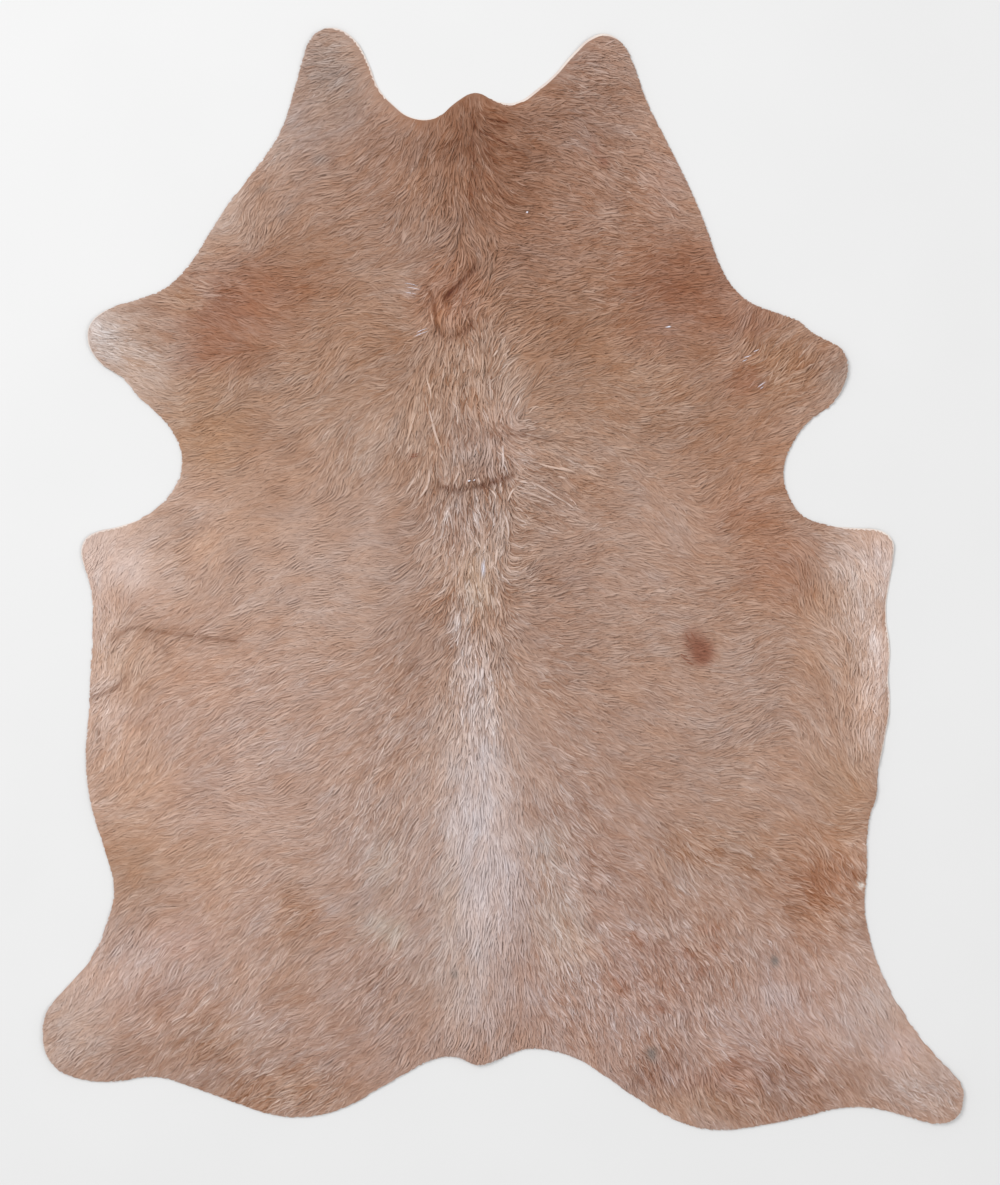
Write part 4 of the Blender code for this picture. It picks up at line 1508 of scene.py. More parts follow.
@dataclass
class HideLeather:
    """The hide itself: a thin sheet of leather in its cut outline, with its flesh side on the floor."""

    form: HideForm
    colours: CoatColours
    field_step: float = 24 * MM
    row_rise: float = 0.866
    ring_insets: tuple[float, ...] = (1.5 * MM, 4.5 * MM, 11 * MM)
    crease_step: float = 7 * MM
    crease_rows: tuple[float, ...] = (-1.0, -0.45, 0.0, 0.45, 1.0)
    crease_trough: float = 1.2 * MM
    crease_inset: float = 3 * MM
    crease_gap: float = 0.6
    field_inset: float = 8 * MM
    sharp_angle: float = 50.0
    painted_shade_under_coat: float = 0.94
    flat_size: tuple[float, float] = (1.843, 2.206)

    def build(self) -> bpy.types.Object:
        """Builds and dresses the sheet.

        Returns:
            The leather as one closed thin mesh.
        """
        form = self.form
        sheet, triangles, rim = self._triangulated()
        deepest = form.leather_thickness(sheet) * 0.5
        trough = np.minimum(self.crease_trough * form.crease_depth(sheet), deepest)
        top = np.column_stack((sheet, form.leather_top(sheet) - trough))
        low = np.column_stack((sheet, form.underside.at(sheet)))
        count, after = len(sheet), np.roll(rim, -1)
        halves = (rim, after + count, after), (rim, rim + count, after + count)
        side = np.vstack([np.column_stack(half) for half in halves])
        middle = sheet[triangles].mean(axis=1)
        bare = form.edge.at(middle) < form.bare_rim(middle)
        finish_of = np.concatenate((np.where(bare, 1, 0), np.full(len(triangles), 2), np.full(len(side), 1)))
        leathers = (
            ("knife_cut_leather", Shade.CUT_LEATHER, Shade.PALE_LEG, 0.9 * MM, 0.2 * MM),
            ("flesh_side_suede", Shade.SUEDE, Shade.STRAW_CREAM, 0.7 * MM, 0.3 * MM),
        )
        finishes = (Underfelt().material(), *(ChromeLeather(*leather).material() for leather in leathers))
        faces = Faces(np.vstack((triangles, triangles[:, ::-1] + count, side)), finishes, finish_of)
        # The coat's colour, darkened as painted shade for the leather that lies under the hair
        colour = to_linear(self.colours.at(sheet) * self.painted_shade_under_coat)
        places = {"OFBake": self._bake_places(sheet)}
        piece = mesh_object("hide_leather", np.vstack((top, low)), faces, np.vstack((colour, colour)), places)
        piece.data.set_sharp_from_angle(angle=radians(self.sharp_angle))
        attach(piece, "root")
        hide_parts("hide")
        return piece

    def _triangulated(self) -> tuple[np.ndarray, np.ndarray, np.ndarray]:
        """Cuts the sheet's outline and fills it with triangles.

        Returns:
            The sheet's points, its triangles, and the points along its edge in order.
        """
        form = self.form
        inward = form.inward(form.outline)
        inset = np.where(form.bare_rim(form.outline) > 1 * MM, form.bare_inset, form.inset)
        rim = form.outline + inward * inset[:, None]
        placed = [rim]
        for ring in self.ring_insets:
            inner = form.outline + inward * (inset + ring)[:, None]
            inner = inner[:: 1 if ring < 5 * MM else 2]
            placed.append(inner[form.edge.at(inner) > ring * 0.85 + inset.min()])
        placed += [self._crease_points(crease) for crease in CREASES]
        corner, far = form.outline.min(axis=0), form.outline.max(axis=0)
        rows = ceil((far[1] - corner[1]) / (self.field_step * self.row_rise))
        columns = ceil((far[0] - corner[0]) / self.field_step) + 1
        middle = corner + lattice(columns, rows, 0.5) * self.field_step * (1.0, self.row_rise)
        gap = np.min([crease.gap(middle) for crease in CREASES], axis=0)
        clear = gap > self.field_step * self.crease_gap
        clear &= form.edge.at(middle) > self.ring_insets[-1] + self.field_inset
        points = [Vector(point) for point in np.vstack((*placed, middle[clear]))]
        inside_only = 1
        flat, _, faces, *_ = delaunay_2d_cdt(points, [], [list(range(len(rim)))], inside_only, 1e-7)
        sheet = np.array([tuple(point) for point in flat])
        triangles = np.array([face for face in faces if len(face) == 3])
        a, b, c = (sheet[triangles[:, number]] for number in range(3))
        turned = (b[:, 0] - a[:, 0]) * (c[:, 1] - a[:, 1]) - (b[:, 1] - a[:, 1]) * (c[:, 0] - a[:, 0])
        triangles[turned < 0] = triangles[turned < 0][:, ::-1]
        return sheet, triangles, np.arange(len(rim))

    def _crease_points(self, crease: Crease) -> np.ndarray:
        """Sets rows of points along a crease, so that the sheet can sink into it.

        Args:
            crease: the crease.

        Returns:
            The points in metres.
        """
        line = along_line(crease.corners, 3, self.crease_step)
        heading = unit(np.gradient(line, axis=0))
        normal = np.column_stack((-heading[:, 1], heading[:, 0]))
        points = np.vstack([line + normal * (share * crease.half_width * MM) for share in self.crease_rows])
        return points[self.form.edge.at(points) > self.ring_insets[-1] + self.crease_inset]

    @staticmethod
    def _bake_places(sheet: np.ndarray) -> np.ndarray:
        """Lays the hair side and the flesh side next to each other on the bake's map.

        Args:
            sheet: the sheet's points in metres.

        Returns:
            The place of each point on the map, the hair side's first.
        """
        low, far = sheet.min(axis=0), sheet.max(axis=0)
        share = (sheet - low) / (far - low)
        sides = (0.005, 0.6), (0.625, 0.37)
        return np.vstack([np.array((left, 0.005)) + share * (wide, 0.99) for left, wide in sides])


def spine_weight(points: np.ndarray) -> np.ndarray:
    """How much of the long hair of poll, whorl and spine each place has, from 0 to 1."""
    return np.clip((LENGTH.at(points) / MM - LENGTH.usual - 1.0) / 10.0, 0.0, 1.0)


@dataclass(frozen=True)
class HairLayer:
    """One layer of the coat: flat tapering locks of hair, rooted in rows over the hide.

    Spacing, width and clump are in mm. Lengths are shares of the hair's own length at each place,
    heights are shares of the room between leather and coat top, and shades are steps of frosting
    on a sleek coat. The root shade is painted shade where a lock lies under the others, and the
    lowest layer stays darker to its tips for the same reason. The crest and parting step paints
    light on the middle of a clump and shade at its sides, where the locks part.
    """

    name: str
    spacing: float
    segments: int
    width: float
    length: tuple[float, float]
    height: tuple[float, float]
    loose: float
    roll: float
    clump: float
    pull: float
    wave: float
    painted_root_shade: float
    tip_shade: float
    spread: float
    clump_shade: float
    painted_crest_and_parting: float
    seed: int
    where: Callable[[np.ndarray], np.ndarray] | None = None


LAYERS = (
    HairLayer(
        "coat_underhair", 7.6, 2, 5.8, (0.7, 1.0), (0.28, 0.42),
        loose=9, roll=4, clump=16, pull=0.2, wave=0.4,
        painted_root_shade=-0.028, tip_shade=-0.015, spread=0.009, clump_shade=0.0, painted_crest_and_parting=0.0, seed=101,
    ),
    HairLayer(
        "coat_body_hair", 6.8, 2, 3.0, (0.8, 1.15), (0.45, 0.6),
        loose=10, roll=6, clump=13, pull=0.5, wave=0.8,
        painted_root_shade=-0.028, tip_shade=0.0, spread=0.010, clump_shade=0.011, painted_crest_and_parting=0.010, seed=102,
    ),
    HairLayer(
        "coat_guard_hair", 6.8, 2, 2.5, (0.8, 1.2), (0.6, 0.78),
        loose=10, roll=7, clump=12, pull=0.6, wave=1.0,
        painted_root_shade=-0.028, tip_shade=0.010, spread=0.010, clump_shade=0.015, painted_crest_and_parting=0.015, seed=103,
    ),
    HairLayer(
        "coat_locks", 8.9, 3, 2.4, (0.9, 1.4), (0.72, 0.92),
        loose=11, roll=8, clump=12, pull=0.65, wave=1.0,
        painted_root_shade=-0.03, tip_shade=0.015, spread=0.011, clump_shade=0.020, painted_crest_and_parting=0.020, seed=104,
    ),
    HairLayer(
        "coat_spine_locks", 4.6, 5, 2.6, (0.8, 1.2), (0.65, 1.0),
        loose=7, roll=10, clump=14, pull=0.9, wave=1.6,
        painted_root_shade=-0.04, tip_shade=0.02, spread=0.008, clump_shade=0.034, painted_crest_and_parting=0.038, seed=105,
        where=spine_weight,
    ),
)


class Locks(NamedTuple):
    """Flat tapering locks of hair, one row each, with stations along them from root to tip."""

    middle: np.ndarray
    half_width: np.ndarray
    roll: np.ndarray
    colour: np.ndarray


@dataclass
class HairWork:
    """What all hair on the hide shares: how it lies over the leather, is trimmed and becomes a mesh."""

    form: HideForm
    combing: Combing
    colours: CoatColours
    hair: CowHair = CowHair()
    profile: tuple[float, ...] = (0.55, 0.9, 1.0, 0.85, 0.6)
    droop: float = 0.5
    overhang: float = 0.8 * MM
    rim_kept_bare: float = 1.1
    root_inset: float = 0.3 * MM
    least_clearance: float = 0.5 * MM
    crease_sink: float = 0.6
    map_margin: float = 0.12
    strand_step: float = 10 * MM

    def raised(self, places: np.ndarray, rise: np.ndarray) -> np.ndarray:
        """Lays lines of hair over the leather.

        Args:
            places: stations along every line, in metres.
            rise: the height of each station over the leather, in metres.

        Returns:
            The stations with their levels; hair past the cut edge droops.
        """
        flat = places.reshape(-1, 2)
        outside = np.clip(-self.form.edge.at(flat), 0.0, None)
        level = self.form.leather_top(flat) + rise.ravel() - outside * self.droop
        return np.column_stack((flat, np.maximum(level, self.least_clearance))).reshape(*rise.shape, 3)

    def piece(self, name: str, locks: Locks, width: float, rng: np.random.Generator) -> bpy.types.Object:
        """Makes locks into one mesh that rides the hide.

        Args:
            name: the piece's name.
            locks: the locks.
            width: the usual width of a lock in metres, for its strands.
            rng: source of small unevenness.

        Returns:
            The mesh.
        """
        count, stations = locks.middle.shape[:2]
        run = unit(np.gradient(locks.middle[:, :, :2], axis=1))
        level, upright = np.cos(locks.roll)[:, None], np.sin(locks.roll)[:, None]
        upright = np.broadcast_to(upright, (count, stations))
        across = np.stack((-run[:, :, 1] * level, run[:, :, 0] * level, upright), axis=2)
        shares, given = (np.linspace(0.0, 1.0, number) for number in (stations, len(self.profile)))
        wide = np.interp(shares, given, self.profile)
        side = across * (locks.half_width[:, None] * wide)[:, :, None]
        sides = np.stack((locks.middle - side, locks.middle + side), axis=2)[:, :-1]
        points = np.concatenate((sides.reshape(count, -1, 3), locks.middle[:, -1:]), axis=1)
        points = self._trimmed(points, rng)
        colours = to_linear(np.repeat(locks.colour, 2, axis=1)[:, :-1])
        length = np.sqrt((np.diff(locks.middle, axis=1) ** 2).sum(axis=2)).sum(axis=1)
        uv_maps = {
            "OFBake": self._bake_places(stations - 1, locks.middle[:, 0, :2]),
            "strands": self._strand_places(stations - 1, length, rng),
        }
        finish = self.hair.material(name.replace("coat", "cow_hair"), width)
        faces = Faces(self._triangles(stations - 1, count), (finish,))
        piece = mesh_object(name, points.reshape(-1, 3), faces, colours.reshape(-1, 3), uv_maps)
        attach(piece, "root")
        log.info("%s: %d locks, %d triangles", name, count, len(piece.data.polygons))
        return piece

    def _marked(self, places: np.ndarray, colour: np.ndarray) -> np.ndarray:
        """The colours at the stations of every lock, with marks and the painted shade of creases laid over
        them.
        """
        return self.colours.marked(places.reshape(-1, 2), colour.reshape(-1, 3)).reshape(colour.shape)

    def _trimmed(self, points: np.ndarray, rng: np.random.Generator) -> np.ndarray:
        """Moves what still hangs past the cut edge back over it, as the maker's knife trims it.

        Args:
            points: the points of every lock, lock by lock, in metres.
            rng: source of the trim's unevenness.

        Returns:
            The points, none further out than the edge's overhang and none on the floor.
        """
        flat = points.reshape(-1, 3)
        allowed = np.repeat(self.overhang * rng.uniform(0.2, 1.0, len(points)), points.shape[1])
        allowed -= self.rim_kept_bare * self.form.bare_rim(flat)
        for _ in range(2):
            excess = np.clip(-allowed - self.form.edge.at(flat), 0.0, None)
            past = excess > 0
            flat[past, :2] += self.form.inward(flat[past, :2]) * excess[past, None]
        flat[:, 2] = np.maximum(flat[:, 2], self.least_clearance * 0.6)
        return flat.reshape(points.shape)

    @staticmethod
    def _triangles(segments: int, count: int) -> np.ndarray:
        """Joins the points of every lock.

        Args:
            segments: how many lengths a lock has.
            count: how many locks there are.

        Returns:
            Three point numbers a row.
        """
        one = []
        for left in range(0, 2 * segments - 2, 2):
            one += [(left, left + 1, left + 3), (left, left + 3, left + 2)]
        one.append((2 * segments - 2, 2 * segments - 1, 2 * segments))
        first = np.arange(count) * (2 * segments + 1)
        return (first[:, None, None] + np.array(one)[None]).reshape(-1, 3)

    def _bake_places(self, segments: int, roots: np.ndarray) -> np.ndarray:
        """Gives each lock a cell of its own on the bake's map, next to its neighbours on the hide.

        Args:
            segments: how many lengths a lock has.
            roots: places of the roots in metres.

        Returns:
            The place of each point on the map.
        """
        count = len(roots)
        columns = ceil(count**0.5)
        rows = ceil(count / columns)
        row, column = np.empty(count, int), np.empty(count, int)
        row[np.argsort(roots[:, 1], kind="stable")] = np.arange(count) // columns
        order = np.lexsort((roots[:, 0], row))
        column[order] = np.arange(count) - row[order] * columns
        inner = self.map_margin
        along = inner + np.repeat(np.linspace(0.0, 1.0, segments + 1), 2)[:-1] * (1.0 - 2 * inner)
        across = np.array([inner, 1.0 - inner] * segments + [0.5])
        u = (column[:, None] + across[None]) / columns
        v = (row[:, None] + along[None]) / rows
        return np.stack((u, v), axis=2).reshape(-1, 2)

    def _strand_places(self, segments: int, length: np.ndarray, rng: np.random.Generator) -> np.ndarray:
        """Lays out the fine strands on every lock.

        Args:
            segments: how many lengths a lock has.
            length: length of each lock in metres.
            rng: source of a shift that makes no two locks alike.

        Returns:
            For each point, its share of the width and its distance along the lock in strand steps.
        """
        shares = np.repeat(np.linspace(0.0, 1.0, segments + 1), 2)[:-1]
        across = np.array([0.0, 1.0] * segments + [0.5])
        shift = rng.uniform(0.0, 200.0, (len(length), 2))
        u = across[None] + shift[:, :1]
        v = shares[None] * (length[:, None] / self.strand_step) + shift[:, 1:]
        return np.stack((u, v), axis=2).reshape(-1, 2)


@dataclass
class CoatOfHair(HairWork):
    """The coat: layers of locks that lie as they were combed, from matted underhair to long spine locks."""

    clump_cells: int = 256
    least_share: float = 0.12
    least_height: float = 0.08
    full_length: float = 12 * MM
    phase_cell: float = 34
    coloured_at: float = 0.65

    def build(self) -> list[bpy.types.Object]:
        """Builds every layer, one piece for each."""
        return [self._layer(layer) for layer in LAYERS]

    def _roots(self, layer: HairLayer, rng: np.random.Generator) -> np.ndarray:
        """Scatters the layer's roots over the leather.

        Args:
            layer: the layer.
            rng: source of the scatter.

        Returns:
            The roots' places in metres, in rows from tail to neck for the bake's map.
        """
        points = self.form.scattered(layer.spacing * MM, rng)
        inset = np.maximum(self.form.bare_rim(points), self.form.inset + self.root_inset)
        points = points[self.form.edge.at(points) > inset]
        if layer.where is not None:
            points = points[rng.uniform(size=len(points)) < layer.where(points)]
        return points

    def _clumped(
        self, tips: np.ndarray, normal: np.ndarray, layer: HairLayer
    ) -> tuple[np.ndarray, np.ndarray]:
        """Gathers tips in clumps: draws them sideways to the middle of the clump that they fall in.

        Args:
            tips: places of the tips in metres.
            normal: unit direction across each lock.
            layer: the layer, with its clumps' size, pull and shades.

        Returns:
            How far each tip moves across its lock, in metres, and the step of frosting that the
            clump gives it: a shade of the clump's own, with painted light in its middle and painted
            shade at its sides, where the locks part.
        """
        size, clump = self.clump_cells, layer.clump * MM
        source = np.random.default_rng(layer.seed + 50)
        spots = source.uniform(0.1, 0.9, (size, size, 2))
        shades = source.uniform(-1.0, 1.0, (size, size))
        cell = np.floor(tips / clump).astype(int)
        nearest = np.full(len(tips), np.inf)
        offset, own = np.zeros_like(tips), np.zeros(len(tips))
        for step in np.ndindex(3, 3):
            near = cell + step - 1
            across, along = near.T % size
            gap = (near + spots[along, across]) * clump - tips
            distance = (gap**2).sum(axis=1)
            closer = distance < nearest
            nearest[closer], offset[closer] = distance[closer], gap[closer]
            own[closer] = shades[along, across][closer]
        aside = (offset * normal).sum(axis=1)
        side = np.clip(np.abs(aside) / (0.5 * clump), 0.0, 1.0)
        # The clump's own random shade, with painted light in its middle and painted shade at its sides
        return aside * layer.pull, layer.clump_shade * own + layer.painted_crest_and_parting * (0.9 - 2.0 * side)

    def _kept_inside(self, roots: np.ndarray, tips: np.ndarray, rng: np.random.Generator) -> np.ndarray:
        """Shortens the locks that would pass the cut edge by more than they may.

        Args:
            roots: places of the roots in metres.
            tips: places of the tips in metres.
            rng: source of the edge's unevenness.

        Returns:
            The share of its length that each lock keeps.
        """
        allowed = self.overhang * rng.uniform(-1.6, 1.0, len(roots))
        allowed -= self.rim_kept_bare * self.form.bare_rim(tips)
        root_gap, tip_gap = self.form.edge.at(roots), self.form.edge.at(tips)
        share = (root_gap + allowed) / np.maximum(root_gap - tip_gap, 1e-6)
        return np.where(tip_gap < -allowed, np.clip(share, self.least_share, 1.0), 1.0)

    def _layer(self, layer: HairLayer) -> bpy.types.Object:
        """Builds one layer.

        Args:
            layer: its sizes.

        Returns:
            The layer as one mesh.
        """
        rng = np.random.default_rng(layer.seed)
        roots = self._roots(layer, rng)
        count = len(roots)
        turn = radians(layer.loose) * rng.standard_normal(count)
        heading = unit_heading(self.combing.lie(roots) + turn)
        length = LENGTH.at(roots) * rng.uniform(*layer.length, count)
        length *= self._kept_inside(roots, roots + heading * length[:, None], rng)
        places = self.combing.followed(roots, length, turn, layer.segments)
        tips = places[:, -1]
        run = tips - roots
        normal = np.column_stack((-run[:, 1], run[:, 0])) / np.maximum(length, 1e-9)[:, None]
        fade = np.clip(length / self.full_length, 0.0, 1.0)
        pull, clump_own_and_painted_shade = self._clumped(tips, normal, layer)
        pull *= fade
        wave = WAVE.at(roots) * layer.wave * fade * rng.uniform(0.5, 1.3, count)
        phase = pi * (1.0 + Mottle(self.phase_cell, layer.seed + 9).at(tips)) + rng.normal(0.0, 0.5, count)
        turns = rng.uniform(0.6, 1.0, count)
        tufting = TUFTING.at(roots)
        middle_height, height_range = np.mean(layer.height), layer.height[1] - layer.height[0]
        share_of_room = middle_height + height_range * tufting * rng.uniform(-0.5, 0.5, count)
        sleekness = np.clip(0.55 + 0.45 * tufting, 0.5, 1.0)
        height = self.form.hair_room(roots) * np.clip(share_of_room * sleekness, self.least_height, 1.0)
        roll = radians(layer.roll) * tufting**0.7 * np.clip(rng.standard_normal(count), -2.0, 2.0)
        half_width = 0.5 * layer.width * MM * rng.uniform(0.75, 1.2, count)
        shares = np.linspace(0.0, 1.0, layer.segments + 1)
        swing = np.sin(phase[:, None] + 2 * pi * turns[:, None] * shares) - np.sin(phase)[:, None]
        aside = pull[:, None] * shares**1.5 + wave[:, None] * swing * np.sqrt(shares)
        places = places + normal[:, None] * aside[:, :, None]
        sunk = 1.0 - self.crease_sink * self.form.crease_depth(places.reshape(-1, 2)).reshape(count, -1)
        middle = self.raised(places, height[:, None] * (1.0 - (1.0 - shares) ** 2) * sunk)
        own = self.colours.coat(places[:, 0] * (1.0 - self.coloured_at) + places[:, -1] * self.coloured_at)
        # Painted shade at the roots, where a lock lies under the others, easing off towards its tip
        ramp = layer.painted_root_shade + (layer.tip_shade - layer.painted_root_shade) * np.sqrt(shares)
        frost = layer.spread * rng.standard_normal(count) + clump_own_and_painted_shade
        frost = (ramp[None] + frost[:, None]) * tufting[:, None]
        colour = self._marked(places, own[:, None, :] + frost[:, :, None] * SHADING)
        return self.piece(layer.name, Locks(middle, half_width, roll, colour), layer.width * MM, rng)


class WispLines(NamedTuple):
    """Wisps, one row each: stations along the middle and width in metres, and step of frosting."""

    line: np.ndarray
    width: np.ndarray
    shade: np.ndarray


@dataclass
class WispsOfHair(HairWork):
    """The wisps over the coat: longer hair that lies side by side in pale or dark lines, as it dried, with a
    darker strand by most pale wisps as their painted shadow.

    The strongest are placed as on the real hide, the finer ones are strewn in groups.
    """

    stations: int = 13
    segments: int = 5
    strand_width: float = 1.5 * MM
    group_spacing: float = 33 * MM
    group_size: tuple[int, int] = (3, 9)
    gap: tuple[float, float] = (3.6 * MM, 6.0 * MM)
    scatter: float = 8 * MM
    turn: float = 7.0
    roll: float = 8.0
    strewn_length: tuple[float, float] = (1.0, 1.7)
    strewn_width: tuple[float, float] = (1.8, 3.4)
    pale: tuple[float, float] = (0.012, 0.042)
    placed_width: float = 1.4
    placed_shade: float = 1.3
    strand_pitch: float = 1.3 * MM
    strand_fill: float = 0.56
    shadow_half_width: float = 0.6 * MM
    seed: int = 201

    def build(self) -> bpy.types.Object:
        """Builds every wisp.

        Returns:
            The wisps as one mesh.
        """
        rng = np.random.default_rng(self.seed)
        placed = self._placed([row for rows in WISPS.values() for row in rows])
        wisps = WispLines(*map(np.concatenate, zip(placed, self._strewn(rng))))
        sets = [self._strands(wisps, None, rng)]
        sets += [self._strands(self._placed(rows), shade, rng) for shade, rows in ODD_HAIRS.items()]
        return self.piece("coat_wisps", Locks(*map(np.concatenate, zip(*sets))), self.strand_width, rng)

    def _placed(self, rows: Sequence[Sequence[float]]) -> WispLines:
        """Reads wisps placed one by one.

        Args:
            rows: for each wisp its width, its step of frosting in hundredths, and its line.

        Returns:
            The wisps.
        """
        lines = np.array([along_line(np.reshape(row[2:], (-1, 2)) * MM, self.stations) for row in rows])
        for _ in range(3):
            lines[:, 1:-1] = (lines[:, :-2] + 2 * lines[:, 1:-1] + lines[:, 2:]) / 4
        width, shade = (np.array([row[number] for row in rows], float) for number in (0, 1))
        broader = np.where(shade == 0, 1.0, self.placed_width)
        return WispLines(lines, width * broader * MM, shade * self.placed_shade / 100)

    def _strewn(self, rng: np.random.Generator) -> WispLines:
        """Strews groups of wisps that lie side by side.

        Args:
            rng: source of the scatter.

        Returns:
            The wisps.
        """
        groups = self.form.scattered(self.group_spacing, rng)
        chance = WISPINESS.at(groups)
        groups = groups[(self.form.edge.at(groups) > 20 * MM) & (rng.uniform(size=len(groups)) < chance)]
        size = rng.integers(*self.group_size, len(groups))
        group = np.repeat(np.arange(len(groups)), size)
        count = len(group)
        step = np.arange(count) - np.repeat(np.cumsum(size) - size, size) - (size[group] - 1) / 2
        angle = self.combing.lie(groups)[group]
        aside = (step + rng.normal(0.0, 0.2, count)) * rng.uniform(*self.gap, len(groups))[group]
        roots = groups[group] + unit_heading(angle + pi / 2) * aside[:, None]
        roots += unit_heading(angle) * rng.normal(0.0, self.scatter, count)[:, None]
        length = LENGTH.at(roots) * rng.uniform(*self.strewn_length, count)
        sway = rng.standard_normal(len(groups))[group] + 0.4 * rng.standard_normal(count)
        line = self.combing.followed(roots, length, radians(self.turn) * sway, self.stations - 1)
        keep = (self.form.edge.at(roots) > 6 * MM) & (self.form.edge.at(line[:, -1]) > 3 * MM)
        pale = rng.uniform(*self.pale, len(groups)) * np.clip(TUFTING.at(groups), 0.7, 2.4)
        width = rng.uniform(*self.strewn_width, count) * MM
        return WispLines(line[keep], width[keep], (pale[group] * rng.uniform(0.4, 1.2, count))[keep])

    def _strands(self, wisps: WispLines, tint: Shade | None, rng: np.random.Generator) -> Locks:
        """Fills wisps with strands that draw together to the tip, and sets a darker one by each pale wisp as
        its painted shadow.

        Args:
            wisps: the wisps.
            tint: a shade of their own, or None for the coat's own colours.
            rng: source of unevenness.

        Returns:
            The strands.
        """
        number = np.clip(np.round(wisps.width / self.strand_pitch), 1, 5).astype(int)
        of = np.repeat(np.arange(len(number)), number)
        order = np.arange(len(of)) - np.repeat(np.cumsum(number) - number, number)
        aside = (2.0 * order + 1.0) / number[of] - 1.0
        half_width = self.strand_fill * (wisps.width / number)[of]
        # The middle of each wisp takes its full step and its sides less: painted light on its crest
        shade = wisps.shade[of] * (0.65 + 0.35 * (1.0 - aside**2)) * rng.uniform(0.8, 1.15, len(of))
        crest = 0.9 + 0.16 * (1.0 - aside**2)
        if tint is None:
            # A darker strand beside each pale, broad wisp: its painted shadow
            beside = np.flatnonzero((wisps.shade > 0.03) & (wisps.width > 1.5 * MM))
            off = rng.choice((-1.0, 1.0), len(beside)) * (1.0 + 1.4 * MM / wisps.width[beside])
            same = np.ones(len(beside))
            dark = -0.4 * wisps.shade[beside] - 0.01
            darker = (beside, off, same * self.shadow_half_width, dark, same * 0.86)
            own = (of, aside, half_width, shade, crest)
            of, aside, half_width, shade, crest = map(np.concatenate, zip(own, darker))
        count = len(of)
        first, last = rng.uniform(0.0, 0.12, count), rng.uniform(0.82, 1.0, count)
        shares = np.linspace(0.0, 1.0, self.segments + 1)
        stops = first[:, None] + (last - first)[:, None] * shares
        place = stops * (self.stations - 1.001)
        low = place.astype(int)
        part = (place - low)[:, :, None]
        line, row = wisps.line[of], np.arange(count)[:, None]
        middle = line[row, low] * (1 - part) + line[row, low + 1] * part
        run = unit(np.gradient(middle, axis=1))
        normal = np.stack((-run[:, :, 1], run[:, :, 0]), axis=2)
        drawn = (aside * 0.5 * wisps.width[of])[:, None] * (1.0 - 0.5 * stops**2)
        middle = middle + normal * drawn[:, :, None]
        flat = middle.reshape(-1, 2)
        room = self.form.hair_room(flat) * (1.0 - self.crease_sink * self.form.crease_depth(flat))
        arch = 0.5 + 0.5 * np.sin(pi * np.clip(shares * 0.75, 0.0, 0.5))
        rise = room.reshape(count, -1) * crest[:, None] * arch
        roll = radians(self.roll) * np.clip(rng.standard_normal(count), -2.0, 2.0)
        return Locks(self.raised(middle, rise), half_width, roll, self._strand_colours(middle, shade, tint))

    def _strand_colours(self, middle: np.ndarray, shade: np.ndarray, tint: Shade | None) -> np.ndarray:
        """Colours every strand: the coat's own colour at its root, paler or darker from there on.

        Args:
            middle: stations along each strand, in metres.
            shade: each strand's step of frosting.
            tint: a shade of their own, or None.

        Returns:
            sRGB parts for each station of each strand.
        """
        own = self.colours.coat(middle[:, middle.shape[1] // 2])[:, None, :]
        shares = np.linspace(0.0, 1.0, middle.shape[1])
        ramp = (0.1 + 0.9 * (1.0 - smooth_fall(shares / 0.45))) * (1.0 - 0.5 * shares**4)
        if tint is not None:
            return own + (tint.parts - own) * np.clip(ramp * 1.4, 0.0, 1.0)[None, :, None]
        return self._marked(middle, own + (shade[:, None] * ramp)[:, :, None] * SHADING)


@dataclass(frozen=True)
class SoftLight:
    """A soft box: where it stands, what it faces, its side in metres and its power in watts."""

    name: str
    place: tuple[float, float, float]
    side: float
    power: float

    def build(self) -> bpy.types.Object:
        """Hangs the soft box, turned to the rug."""
        data = bpy.data.lights.new(self.name, "AREA")
        data.shape, data.size, data.energy = "SQUARE", self.side, self.power
        data.color = to_linear(Shade.LAMP_WHITE.parts)
        lamp = bpy.data.objects.new(self.name, data)
        lamp.location = self.place
        lamp.rotation_euler = (-Vector(self.place)).to_track_quat("-Z", "Y").to_euler()
        return lamp


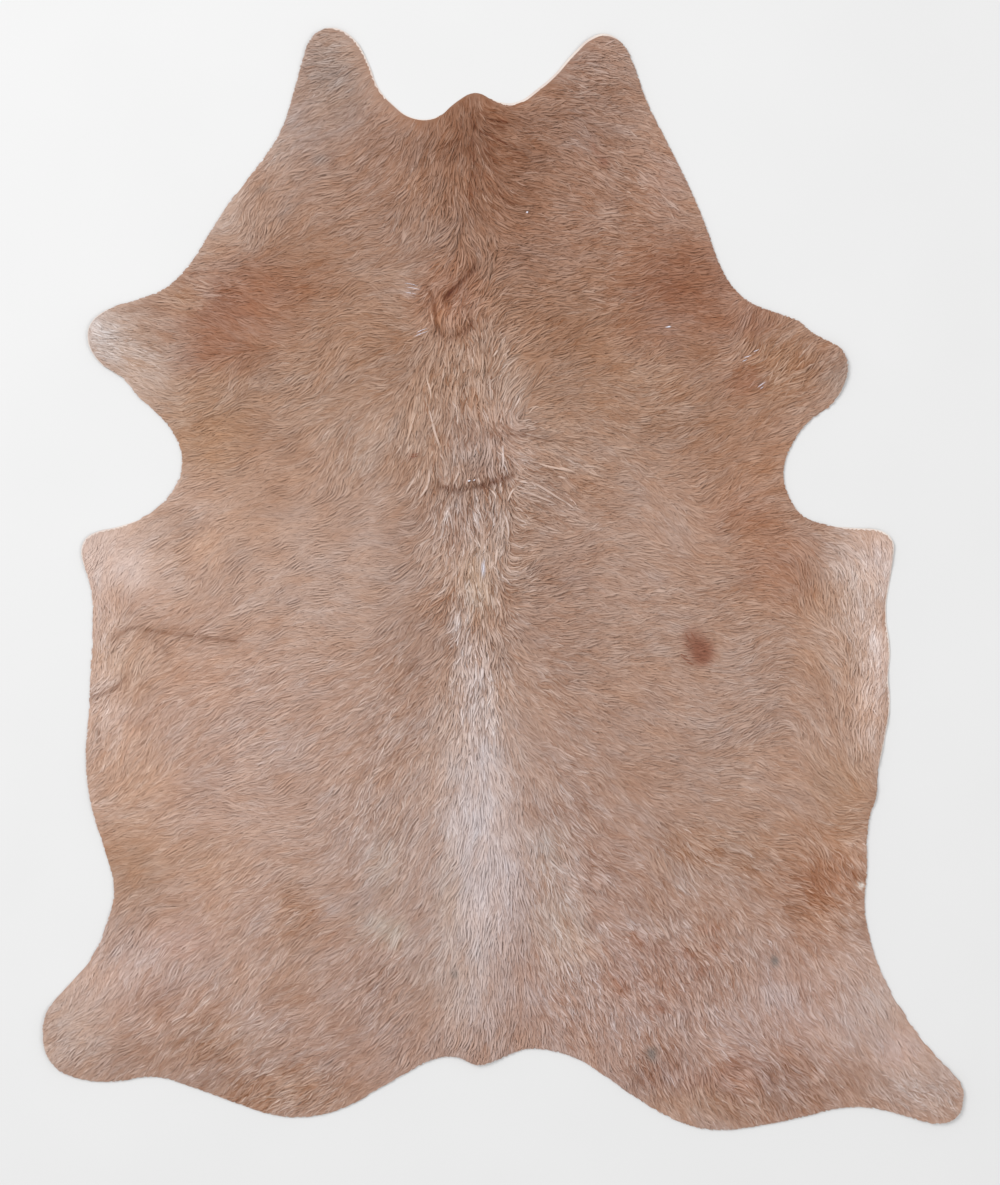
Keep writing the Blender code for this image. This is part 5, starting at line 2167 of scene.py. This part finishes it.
@dataclass(frozen=True)
class Studio:
    """A plain pale floor, soft light, and a camera straight above the rug."""

    view_height: float = 2.37
    view_centre: tuple[float, float] = (-6 * MM, -27 * MM)
    camera_height: float = 4.0
    coat_level: float = 6 * MM
    sensor: float = 36.0
    floor_side: float = 30.0
    floor_drop: float = 0.4 * MM
    sky: float = 0.70
    lights: tuple[SoftLight, ...] = (
        SoftLight("key_soft_box", (-5.2, 4.4, 7.2), 4.6, 580.0),
        SoftLight("fill_soft_box", (6.4, -2.4, 8.4), 5.0, 230.0),
    )

    def build(self) -> None:
        """Sets up floor, lights, sky and camera."""
        scene = bpy.context.scene
        floor, camera = self._floor(), self._camera()
        for thing in (floor, camera, *(light.build() for light in self.lights)):
            scene.collection.objects.link(thing)
        scene.camera = camera
        scene.world = bpy.data.worlds.new("studio_sky")
        scene.world.use_nodes = True
        background = scene.world.node_tree.nodes["Background"]
        background.inputs["Color"].default_value = Shade.LAMP_WHITE.linear
        background.inputs["Strength"].default_value = self.sky
        view = scene.view_settings
        view.view_transform, view.look, view.exposure = "Standard", "None", 0.0

    def _floor(self) -> bpy.types.Object:
        """Lays the floor, one square sheet."""
        half = self.floor_side / 2
        mesh = bpy.data.meshes.new("studio_floor")
        corners = [(-half, -half, 0), (half, -half, 0), (half, half, 0), (-half, half, 0)]
        mesh.from_pydata(corners, [], [(0, 1, 2, 3)])
        mesh.materials.append(StudioPaper().material())
        floor = bpy.data.objects.new("studio_floor", mesh)
        floor.location.z = -self.floor_drop
        return floor

    def _camera(self) -> bpy.types.Object:
        """Puts the camera straight above, so that the frame takes in the view's height."""
        data = bpy.data.cameras.new("camera_above")
        data.sensor_fit = "AUTO"
        data.sensor_width = self.sensor
        data.lens = self.sensor * (self.camera_height - self.coat_level) / self.view_height
        data.clip_start, data.clip_end = 0.1, 50.0
        camera = bpy.data.objects.new("camera_above", data)
        camera.location = (*self.view_centre, self.camera_height)
        return camera


def main() -> None:
    """Builds the rug's leather, its coat and the studio."""
    logging.basicConfig(level=logging.INFO, format="%(name)s: %(message)s")
    form = HideForm(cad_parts["hide"])
    log.info("form: %d points round the cut edge", len(form.outline))
    combing = Combing(form)
    colours = CoatColours(form, combing)
    leather = HideLeather(form, colours)
    sheet = leather.build()
    log.info("%s: %d triangles", sheet.name, len(sheet.data.polygons))
    coat = CoatOfHair(form, combing, colours).build()
    coat.append(WispsOfHair(form, combing, colours).build())
    Studio().build()


if __name__ == "__main__":
    main()
